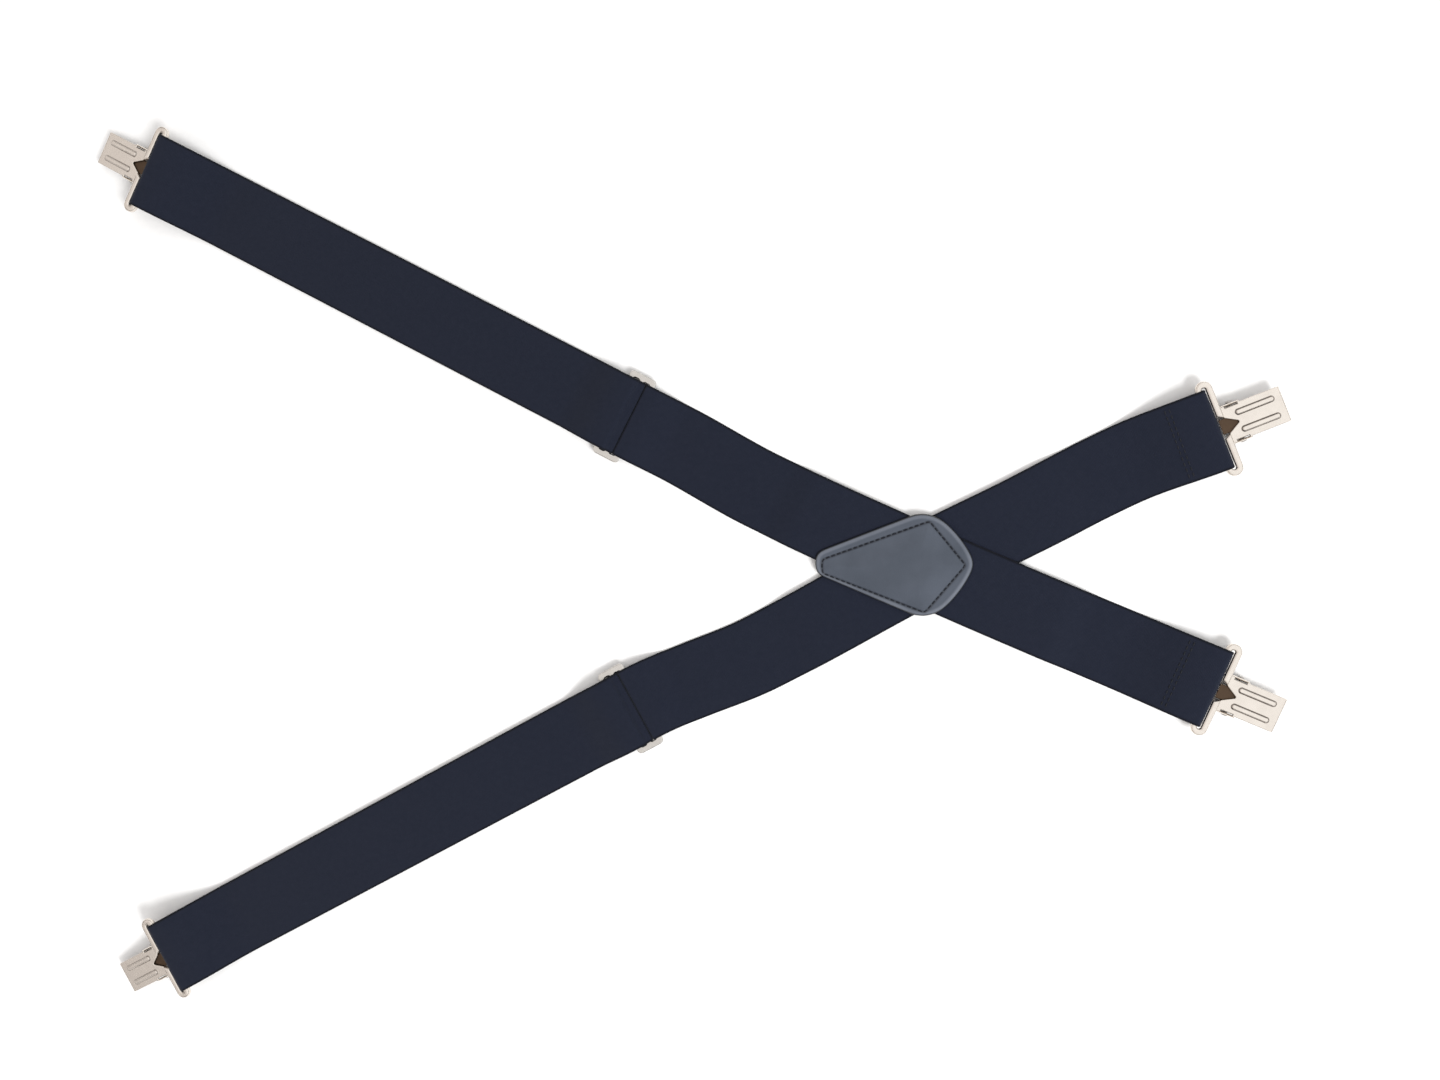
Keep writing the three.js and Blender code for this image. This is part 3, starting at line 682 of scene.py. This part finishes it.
frame_wire = 3.6
band_inside = loop_radius + webbing_thickness / 2 + 0.5
band_outside = band_inside + frame_wire
frame_half = webbing_width / 2 + 1
plate_tip = band_outside + 36
plate_half = 11.1
plate_thickness = 1.2
plate_flare = 2.5
plate_corner = 1.8
tip_bend = 1.7
notch_half = 6.6
notch_tip = band_inside + 11.2
notch_radius = 0.9
rib_start = 15.4
rib_length = 22.9
rib_offset = 5.4
rib_half = 1.5
rib_height = 0.95
ear_start = 8.8
ear_length = 11
ear_thickness = 1.2
ear_bridge = 1.6
ear_slot = 1.1
ear_middle = plate_half - 0.2 + ear_thickness / 2
rivet_at = (15.7, -5.9)
jaw_at = (11.5, -2.6)
jaw_tip = plate_tip - plate_thickness - 0.9
jaw_half = plate_half - 0.7
lever_half = jaw_half - gap


def notch_edge():
    """The notch's outline from one side of the frame's slot round its point to the other."""
    points = [(band_inside + 1, -notch_half)]
    for i in range(-5, 6):
        angle = math.radians(10 * i)
        points.append((notch_tip - notch_radius + notch_radius * math.cos(angle), notch_radius * math.sin(angle)))
    points.append((band_inside + 1, notch_half))
    return points


def notch_at(u):
    """Half the notch's width at a distance from the bar."""
    (u0, v0), (u1, v1) = notch_edge()[:2]
    return -(v0 + (v1 - v0) * (u - u0) / (u1 - u0))


def arc(u, v, radius, begin, stop, steps=8):
    angles = [math.radians(begin + (stop - begin) * i / steps) for i in range(steps + 1)]
    return [(u + radius * math.cos(a), v + radius * math.sin(a)) for a in angles]


def frame_mesh():
    """The frame as one C, open at the notch. Its outer band is a little wider than its bar."""
    wire = frame_wire / 2
    corner = 4.9
    band = band_outside + 0.5
    outer = frame_half + frame_wire + 0.6
    hook = notch_at(band)
    outline = [(band, hook)]
    outline += arc(band - corner, outer - corner, corner, 0, 90)
    outline += arc(corner - wire, outer - corner, corner, 90, 180)
    outline += arc(corner - wire, corner - outer, corner, 180, 270)
    outline += arc(band - corner, corner - outer, corner, 270, 360)
    outline += [(band, -hook), (band_inside, -notch_half - 0.6)]
    outline += arc(band_inside - 1, 1 - frame_half, 1, 0, -90, 4)
    outline += arc(wire + 1, 1 - frame_half, 1, -90, -180, 4)
    outline += arc(wire + 1, frame_half - 1, 1, 180, 90, 4)
    outline += arc(band_inside - 1, frame_half - 1, 1, 90, 0, 4)
    outline += [(band_inside, notch_half + 0.6)]
    return pressed_mesh([outline], frame_wire, 1.35)


def sheet_mesh():
    """The plate from the frame's outer band to its tip, cut by the notch."""
    start = band_inside + frame_wire / 2
    wide = plate_half + plate_flare
    outline = [(start, -wide), (band_outside, -wide)]
    outline += arc(band_outside + plate_flare, -wide, plate_flare, 180, 90)
    slot = [(ear_start + ear_bridge, 0), (ear_start + ear_bridge, ear_slot),
            (ear_start + ear_length - ear_bridge, ear_slot), (ear_start + ear_length - ear_bridge, 0)]
    outline += [(u, -plate_half + deep) for u, deep in slot]
    outline += [(plate_tip - tip_bend, -plate_half), (plate_tip - tip_bend, plate_half)]
    outline += [(u, plate_half - deep) for u, deep in reversed(slot)]
    outline += arc(band_outside + plate_flare, wide, plate_flare, -90, -180)
    outline += [(start, wide), (start, notch_at(start))]
    outline += list(reversed(notch_edge()[1:-1]))
    outline += [(start, -notch_at(start))]
    return pressed_mesh([outline], plate_thickness, 0.55)


def rib_mesh(v_middle):
    """A pressed rib: a long dome that runs smoothly down into the plate."""
    margin = 0.6
    u_all = np.linspace(rib_start - margin, rib_start + rib_length + margin, 97)
    v_all = np.linspace(-rib_half - margin, rib_half + margin, 25)
    u, v = np.meshgrid(u_all, v_all, indexing="ij")
    straight = np.clip(u, rib_start + rib_half, rib_start + rib_length - rib_half)
    away = np.hypot(u - straight, v)
    share = np.clip((rib_half + margin - away) / (2 * margin), 0, 1)
    height = plate_thickness / 2 + 0.015 + rib_height * (0.25 * share * share * (3 - 2 * share) + 0.75 * share)
    height = np.where(away >= rib_half + margin, plate_thickness / 2 - 0.1, height)
    points = np.stack([u, v + v_middle, height], -1).reshape(-1, 3)
    width = len(v_all)
    faces = [(i * width + k, (i + 1) * width + k, (i + 1) * width + k + 1, i * width + k + 1)
             for i in range(len(u_all) - 1) for k in range(width - 1)]
    return points, faces


def bent_mesh(path, thickness, half, corner=0.0):
    """A strip of sheet metal whose side view follows (x, z) points, from y = -half to y = +half."""
    path = np.array(path)
    path = path[np.r_[True, np.linalg.norm(np.diff(path, axis=0), axis=1) > 1e-3]]
    step = np.diff(path, axis=0)
    reach = np.linalg.norm(step, axis=1)
    step /= reach[:, None]
    tangent = np.vstack([step[:1], step[:-1] + step[1:], step[-1:]])
    tangent /= np.linalg.norm(tangent, axis=1)[:, None]
    left = np.r_[np.cumsum(reach[::-1])[::-1], 0]
    edge = min(0.3, thickness * 0.4)
    t = thickness / 2
    section = [(1, -t + edge), (1, t - edge), (0, t), (0, t), (-1, t - edge), (-1, -t + edge), (0, -t), (0, -t)]
    points = []
    for (x, z), (dx, dz), rest in zip(path, tangent, left):
        trim = corner - math.sqrt(max(corner ** 2 - max(corner - rest, 0) ** 2, 0)) if corner else 0.0
        wide = half - trim
        for k, (outward, lift) in enumerate(section):
            y = outward * wide if outward else (1 if k in (2, 7) else -1) * (wide - edge)
            points.append((x - dz * lift, y, z + dx * lift))
    count = len(section)
    faces = [(i * count + k, i * count + (k + 1) % count, (i + 1) * count + (k + 1) % count, (i + 1) * count + k)
             for i in range(len(path) - 1) for k in range(count)]
    faces.append(tuple(reversed(range(count))))
    faces.append(tuple(range((len(path) - 1) * count, len(path) * count)))
    return np.array(points), faces


def turned(shape, matrix):
    """A shape moved by a 4x4 matrix."""
    points, faces = shape
    return points @ np.array(matrix.to_3x3()).T + np.array(matrix.translation), faces


def comb_mesh(u_middle, thickness, half, base, tip, teeth):
    """A lip across the clip cut into blunt teeth."""
    width = 2 * half / (2 * teeth - 1)
    root = base + (tip - base) * 0.5
    outline = [(-half, base)]
    for i in range(teeth):
        left = -half + 2 * i * width
        outline += [(left + 0.12 * width, tip), (left + 0.88 * width, tip)]
        if i < teeth - 1:
            outline += [(left + 1.05 * width, root), (left + 1.95 * width, root)]
    outline.append((half, base))
    upright = Matrix(((0, 0, 1, u_middle), (1, 0, 0, 0), (0, 1, 0, 0), (0, 0, 0, 1)))
    return turned(pressed_mesh([outline], thickness, 0.15), upright)


def ear_mesh(side):
    """An ear: the bend out of the plate, and the side wall that holds the rivet and the jaw's lug."""
    bend = 0.9
    middle = ear_middle
    crown = [*turn(middle - bend, -bend, bend, 50, 0), (middle, -2.6)]
    strip = bent_mesh(crown, ear_thickness, ear_length / 2)
    bridge = bent_mesh([(plate_half - 2, -0.02), (middle - bend, -0.02), *turn(middle - bend, -bend, bend, 85, 45)],
                       ear_thickness, ear_bridge / 2)
    swing = Matrix(((0, 1, 0, ear_start + ear_length / 2), (side, 0, 0, 0), (0, 0, 1, 0), (0, 0, 0, 1)))
    reach = (ear_length - ear_bridge) / 2
    foot = rivet_at[1]
    outline = [(ear_start, -1.4), (ear_start, jaw_at[1] - 1.3)]
    outline += arc(rivet_at[0], foot, 2.4, -150, 0, 12)
    outline += [(ear_start + ear_length, -2.3), (ear_start + ear_length, -1.4)]
    hang = Matrix(((1, 0, 0, 0), (0, 0, 1, side * middle), (0, 1, 0, 0), (0, 0, 0, 1)))
    return [turned(strip, swing), turned(pressed_mesh([outline], ear_thickness, 0.25), hang),
            *[turned(bridge, Matrix.Translation((way, 0, 0)) @ swing) for way in (-reach, reach)]]


def plate_shape():
    tip_middle = tip_bend - plate_thickness / 2
    lip = comb_mesh(plate_tip - plate_thickness / 2, plate_thickness, plate_half - plate_corner, -0.9, -2.0, 7)
    bend = bent_mesh([(plate_tip - tip_bend - 1.5, -0.01), *turn(plate_tip - tip_bend, -tip_middle, tip_middle,
                                                                90, 0)], plate_thickness, plate_half - 0.05)
    return gather([frame_mesh(), sheet_mesh(), rib_mesh(-rib_offset), rib_mesh(rib_offset),
                   *ear_mesh(-1), *ear_mesh(1), bend, lip])


def jaw_shape():
    """A flat toothed jaw with a lug at each side that turns in the ears."""
    heel = jaw_at[0] - 2.3
    flat = pressed_mesh([rounded_box(jaw_tip - heel, 2 * jaw_half, 1.2, ((jaw_tip + heel) / 2, 0))], 1.0, 0.25)
    flat = turned(flat, Matrix.Translation((0, 0, jaw_at[1])))
    lip = comb_mesh(jaw_tip - 0.5, 1.0, jaw_half - 1.5, jaw_at[1], -1.3, 6)
    lugs = []
    for side in (-1, 1):
        lug = lathe([(0, 0), (1.0, 0), (1.0, 1.55), (0.85, 1.7), (0, 1.7)], 20)
        lugs.append(turned(lug, lay_over(side, (jaw_at[0], side * (jaw_half - 0.1), jaw_at[1]))))
    return gather([flat, lip, *lugs])


def lathe(profile, sides):
    """A round shape from (radius, height) points, turned round z."""
    points = []
    for radius, height in profile:
        for k in range(sides):
            angle = 2 * math.pi * k / sides
            points.append((radius * math.cos(angle), radius * math.sin(angle), height))
    faces = [(i * sides + k, i * sides + (k + 1) % sides, (i + 1) * sides + (k + 1) % sides, (i + 1) * sides + k)
             for i in range(len(profile) - 1) for k in range(sides)]
    return np.array(points), faces


def lay_over(side, place):
    """Turns a round shape's axis from z to y, pointing to one side, and moves it."""
    return Matrix.Translation(place) @ Matrix.Rotation(math.radians(-90 * side), 4, "X")


def lever_shape():
    """The lever: sheet rolled round the rivet, then straight and curled away at its end for a finger."""
    lean = 8
    thickness = 1.1
    pin_u, pin_w = rivet_at
    mid = 2.0 - thickness / 2
    roll = turn(pin_u, pin_w, mid, 20, 270 + lean)
    reach = 21.5
    slope = math.tan(math.radians(lean))
    start_u, start_w = roll[-1]
    end = (start_u + reach, start_w + reach * slope)
    curl = 1.25
    hub = (end[0] + curl * math.sin(math.radians(lean)), end[1] - curl * math.cos(math.radians(lean)))
    path = [*roll, *[(start_u + reach * k / 12, start_w + reach * slope * k / 12) for k in range(1, 13)],
            *turn(*hub, curl, 90 + lean, 40 + lean)]
    return bent_mesh(path, thickness, lever_half, 4.0)


def rivet_shape():
    """A rivet with a low domed head outside each ear."""
    end = ear_middle + ear_thickness / 2 + 0.3
    dome = [(1.9 * math.cos(math.radians(a)), end + 0.2 + 0.6 * math.sin(math.radians(a))) for a in range(0, 91, 15)]
    profile = [(1.0, 0), (1.0, end), (1.9, end), *dome]
    return gather([turned(lathe(profile, 24), lay_over(side, (rivet_at[0], 0, rivet_at[1]))) for side in (-1, 1)])


def spring_shape():
    """A leaf spring, flat under the notch and bowed down onto the jaw."""
    high = -plate_thickness / 2 - gap - 0.2
    low = -2.1 + gap + 0.2
    bow = 15.5
    return bent_mesh([(4.9, high), (10.8, high), *rise((bow, high), (24.8, low))], 0.4, 4.5, 1.0)


def clip_finish(tone):
    """The clips' nickel, with painted shade darkening the creases round the ribs."""
    sockets = nickel((0.86, 0.80, 0.73), (0.70, 0.64, 0.58), 0.14, 0.28)(tone)
    # Painted shade: a dark brown is painted along the foot of each rib, where the crease lies in shade.
    painted_crease_shade = (1 - tone.measure("from_crease").ramp(0.05 * mm, 0.6 * mm)) * 0.75
    sockets["Base Color"] = painted_crease_shade.paint(sockets["Base Color"], (0.13, 0.10, 0.08))
    return sockets


clip_nickel = new_finish("clip_nickel", clip_finish)
jaw_steel = new_finish("jaw_steel", nickel((0.60, 0.58, 0.55), (0.50, 0.48, 0.46), 0.32, 0.45))
lever_nickel = new_finish("lever_nickel", nickel((0.74, 0.70, 0.65), (0.64, 0.60, 0.56), 0.20, 0.34))
rivet_steel = new_finish("rivet_steel", nickel((0.55, 0.52, 0.49), (0.42, 0.40, 0.38), 0.28, 0.42))
spring_bronze = new_finish("spring_bronze", nickel((0.15, 0.10, 0.066), (0.07, 0.048, 0.034), 0.35, 0.55))

clip_pieces = [
    ("plate", plate_shape(), clip_nickel, "clip", "clip_nickel"),
    ("jaw", jaw_shape(), jaw_steel, "jaw", "jaw_steel"),
    ("lever", lever_shape(), lever_nickel, "lever", "clip_nickel"),
    ("rivet", rivet_shape(), rivet_steel, "clip", "rivet_steel"),
    ("spring", spring_shape(), spring_bronze, "clip", "spring_brass"),
]


def from_crease(points):
    """How far each point is from the foot of the nearer rib."""
    middle = np.clip(points[:, 0], rib_start + rib_half, rib_start + rib_length - rib_half)
    return np.abs(np.hypot(points[:, 0] - middle, np.abs(points[:, 1]) - rib_offset) - rib_half - 0.15)


def add_clip(name):
    faces_up = {mount["name"]: mount for mount in frame["record"]["mounts"]}
    swivel = joints[f"{name}_clip_swivel"]
    across = Vector(swivel["axis"])
    up = Vector(faces_up[f"{name}_clip_face"]["axis"])
    out = across.cross(up)
    place = Matrix((out, across, up)).transposed().to_4x4()
    place.translation = Vector(swivel["pos_m"]) / mm
    for piece, shape, finish, body, slot_name in clip_pieces:
        metal_piece(f"{name}_{piece}_metal", shape, place, finish, f"{name}_clip_{piece}",
                    f"{name}_{body}", {"from_crease": from_crease(shape[0])})


for clip_name in ("left_front", "right_front", "left_back", "right_back"):
    add_clip(clip_name)


# ---------------------------------------------------------------- cross patches
# Two kite-shaped pieces of smooth slate-blue leather hold the crossing between them. Each has a rolled
# rim outside one row of black stitches, and the upper piece's leather inside the row is slightly crowned.

patch_right = 28.5
patch_top = 31.4
patch_bottom = 33.6
stitch_corners = [(-66.0, 1.9), (0.6, 26.4), (23.0, -0.9), (-1.9, -30.9), (-66.0, -6.6)]
patch_middle = np.array((-14.0, -1.2))


def patch_outline():
    """The kite's edge, the broad round end to the right, as closely spaced points."""
    def bow(a, b, c, steps=24):
        a, b, c = (np.array(p, float) for p in (a, b, c))
        return [(1 - s) ** 2 * a + 2 * (1 - s) * s * b + s * s * c for s in np.linspace(0, 1, steps + 1)]

    shoulder = 8
    broad = patch_right * 0.78
    edge = [np.array((-patch_left + 3, -8.2)), np.array((-shoulder, -patch_bottom + 1))]
    edge += bow(edge[-1], (-1, -patch_bottom - 0.6), (shoulder, -patch_bottom + 4))
    edge += bow(edge[-1], (broad, -patch_bottom * 0.5), (patch_right, 0))
    edge += bow(edge[-1], (broad, patch_top * 0.5), (shoulder, patch_top - 4))
    edge += bow(edge[-1], (-1, patch_top + 0.6), (-shoulder, patch_top - 1))
    edge += bow((-patch_left + 3, 7.4), (-patch_left, 7.4), (-patch_left, 4.4))
    edge += bow((-patch_left, -5.2), (-patch_left, -8.2), (-patch_left + 3, -8.2))
    edge = np.array(edge)
    keep = np.r_[True, np.linalg.norm(np.diff(edge, axis=0), axis=1) > 1e-6]
    edge = edge[keep][:-1]
    around = np.vstack([edge, edge[:1]])
    distance = np.r_[0, np.cumsum(np.linalg.norm(np.diff(around, axis=0), axis=1))]
    even = np.linspace(0, distance[-1], 321)[:-1]
    line = np.stack([np.interp(even, distance, around[:, k]) for k in (0, 1)], -1)
    for _ in range(50):
        line = (np.roll(line, 1, 0) + 2 * line + np.roll(line, -1, 0)) / 4
    outward = line - patch_middle
    return line + 0.5 * outward / np.linalg.norm(outward, axis=1)[:, None]


def distance_to(line, points):
    """From each point to a closed line."""
    best = np.full(len(points), 1e9)
    for a, b in zip(line, np.roll(line, -1, 0)):
        share = np.clip(((points - a) @ (b - a)) / ((b - a) @ (b - a)), 0, 1)
        best = np.minimum(best, np.linalg.norm(points - a - share[:, None] * (b - a), axis=1))
    return best


def inside(line, points):
    odd = np.zeros(len(points), bool)
    for a, b in zip(line, np.roll(line, -1, 0)):
        crosses = (a[1] > points[:, 1]) != (b[1] > points[:, 1])
        odd ^= crosses & (points[:, 0] < (b[0] - a[0]) * (points[:, 1] - a[1]) / (b[1] - a[1] + 1e-12) + a[0])
    return odd


def smooth_step(value, low, high):
    share = np.clip((value - low) / (high - low), 0, 1)
    return share * share * (3 - 2 * share)


def seam_line():
    """The row of stitches, with its corners a little rounded."""
    corners = np.array(stitch_corners)
    line = []
    for before, corner, after in zip(np.roll(corners, 1, 0), corners, np.roll(corners, -1, 0)):
        into = corner + (before - corner) / np.linalg.norm(before - corner) * 1.6
        out = corner + (after - corner) / np.linalg.norm(after - corner) * 1.6
        line += [(1 - s) ** 2 * into + 2 * (1 - s) * s * corner + s * s * out for s in np.linspace(0, 1, 6)]
    return np.array(line)


rim_line = patch_outline()
seam = seam_line()
left_way = ways["left"]


def sag(points):
    """How far the leather drops beside the strap that it lies on, in millimetres."""
    on_way = left_way.at(left_way.distance)[0]
    near = (np.abs(on_way[:, 0]) < 120)
    line = on_way[near][::3]
    away = np.full(len(points), 1e9)
    for a, b in zip(line[:-1], line[1:]):
        share = np.clip(((points - a) @ (b - a)) / ((b - a) @ (b - a)), 0, 1)
        away = np.minimum(away, np.linalg.norm(points - a - share[:, None] * (b - a), axis=1))
    return 1.1 * smooth_step(away, 21, 36)


def leather_height(points, crown):
    """The face's height above the patch's flat back, before the sag is taken off. It bulges by crown in the middle.
    """
    from_rim = distance_to(rim_line, points)
    from_seam = distance_to(seam, points)
    within = inside(seam, points)
    roll = patch_thickness * 0.62 * np.sqrt(np.clip(1 - (1 - np.clip(from_rim / 1.1, 0, 1)) ** 2, 0, 1))
    rim = 0.35 * smooth_step(from_rim, 0.6, 2.2)
    bulge = np.where(within, crown * smooth_step(from_seam, -2, 15), 0)
    groove = 0.36 * np.exp(-(from_seam / 0.7) ** 2)
    return 0.2 + roll + rim + bulge + 0.12 * smooth_step(from_seam, 0, 1.6) - groove


def leather_finish(tone):
    place = tone.place()
    grain = tone.add("ShaderNodeTexVoronoi", {"feature": "SMOOTH_F1"},
                     {"Vector": place, "Scale": 1 / (1.1 * mm), "Smoothness": 0.6}, "Distance")
    pores = tone.noise(place, 0.0006, 3.0)
    cloud = tone.noise(place, 0.030, 5.0).ramp(0.2, 0.8)
    from_rim = tone.measure("from_rim")
    from_seam = tone.measure("from_seam")
    face = cloud.paint((0.036, 0.046, 0.064), (0.058, 0.070, 0.094))
    # Painted highlight: the rolled rim is painted lighter than the face, mottled by the cloud.
    rim_highlight = (1 - from_rim.ramp(1.8 * mm, 3.6 * mm)) * (0.45 + 0.55 * cloud)
    rim = rim_highlight.paint(face, (0.120, 0.134, 0.165))
    # Painted shade: the leather is painted darker in the groove along the row of stitches.
    painted_groove_shade = (1 - from_seam.ramp(0.2 * mm, 1.3 * mm)) * 0.6
    seamed = painted_groove_shade.paint(rim, (0.014, 0.017, 0.023))
    # Dark cut edge and painted shadow: the leather is painted near black at its edge, fading out by 1.2 mm in, and
    # on all of its back.
    dark_edge_and_shadow = from_rim.ramp(0.3 * mm, 1.2 * mm)
    return {"Base Color": dark_edge_and_shadow.paint((0.010, 0.011, 0.013), seamed),
            "Roughness": 0.34 + 0.16 * pores, "Specular IOR Level": 0.5,
            "Normal": tone.bump(grain * 0.6 + pores * 0.4, 0.00010)}


slate_leather = new_finish("slate_leather", leather_finish)


def add_patch(name, back, facing, crown, rings):
    """A patch whose flat back is at a height, with its face up (1) or down (-1)."""
    shares = np.r_[0, np.linspace(0, 1, rings + 1)[1:] ** 0.8]
    rim = rim_line - patch_middle
    flat = [patch_middle[None]] + [patch_middle + rim * s for s in shares[1:]]
    plane = np.vstack(flat)
    height = leather_height(plane, crown)
    drop = sag(plane) if facing > 0 else np.zeros(len(plane))
    count = len(rim_line)
    edge_plane = plane[-count:]
    under = np.vstack([edge_plane, patch_middle + rim * 0.97, patch_middle + rim * 0.5, patch_middle[None]])
    drop_under = sag(under) if facing > 0 else np.zeros(len(under))
    lift_under = np.r_[np.full(count, 0.28), np.zeros(len(under) - count)]
    z_face = back + facing * height - drop
    z_back = back + facing * lift_under - drop_under
    points = np.vstack([np.c_[plane, z_face], np.c_[under, z_back]])
    faces = []
    first = 1
    for k in range(count):
        faces.append((0, first + k, first + (k + 1) % count))
    for ring in range(len(shares) - 2):
        a = first + ring * count
        for k in range(count):
            after = (k + 1) % count
            faces.append((a + k, a + count + k, a + count + after, a + after))
    top_edge = first + (len(shares) - 2) * count
    start = len(plane)
    for a in (top_edge, start, start + count):
        b = start if a == top_edge else a + count
        for k in range(count):
            after = (k + 1) % count
            faces.append((a + k, b + k, b + after, a + after))
    last = start + 2 * count
    for k in range(count):
        faces.append((last + k, start + 3 * count, last + (k + 1) % count))
    if facing < 0:
        faces = [tuple(reversed(face)) for face in faces]
    together = np.vstack([plane, under])
    from_rim = distance_to(rim_line, together)
    from_rim[len(plane):] = 0
    from_seam = np.r_[distance_to(seam, plane), np.full(len(under), 20.0)]
    piece = add_piece(name, points, faces, slate_leather,
                      measures={"from_rim": from_rim, "from_seam": from_seam})
    area = 0.5 * abs(np.sum(rim_line[:, 0] * np.roll(rim_line[:, 1], -1)
                            - np.roll(rim_line[:, 0], -1) * rim_line[:, 1]))
    span = np.ptp(rim_line, axis=0)
    return piece, area, span


def patch_stitches(name, back, facing, crown, sunk):
    """One row of stitches round the patch, in its groove."""
    around = np.vstack([seam, seam[:1]])
    distance = np.r_[0, np.cumsum(np.linalg.norm(np.diff(around, axis=0), axis=1))]
    count = round(distance[-1] / (stitch_length + stitch_space))
    spacing = distance[-1] / count
    stitches = []
    for k in range(count):
        ends = []
        for s in (k * spacing, k * spacing + spacing - stitch_space):
            ends.append([np.interp(s, distance, around[:, j]) for j in (0, 1)])
        ends = np.array(ends)
        height = back + facing * (leather_height(ends, crown) - sunk)
        if facing > 0:
            height = height - sag(ends)
        stitches.append(((*ends[0], height[0]), (*ends[1], height[1]), (0, 0, facing)))
    return sew(name, stitches, "harness")


def cover_crossing(name, back, facing, crown, sunk, rings):
    thread = patch_stitches(f"{name}_thread", back, facing, crown, sunk)
    piece, area, span = add_patch(f"{name}_leather", back, facing, crown, rings)
    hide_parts(name)
    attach(piece, "harness")


cover_crossing("cross_patch_inner", over_cross + layer_gap, 1, 1.9, -0.26, 90)
cover_crossing("cross_patch_outer", patch_thickness, -1, 0.0, 0.16, 60)
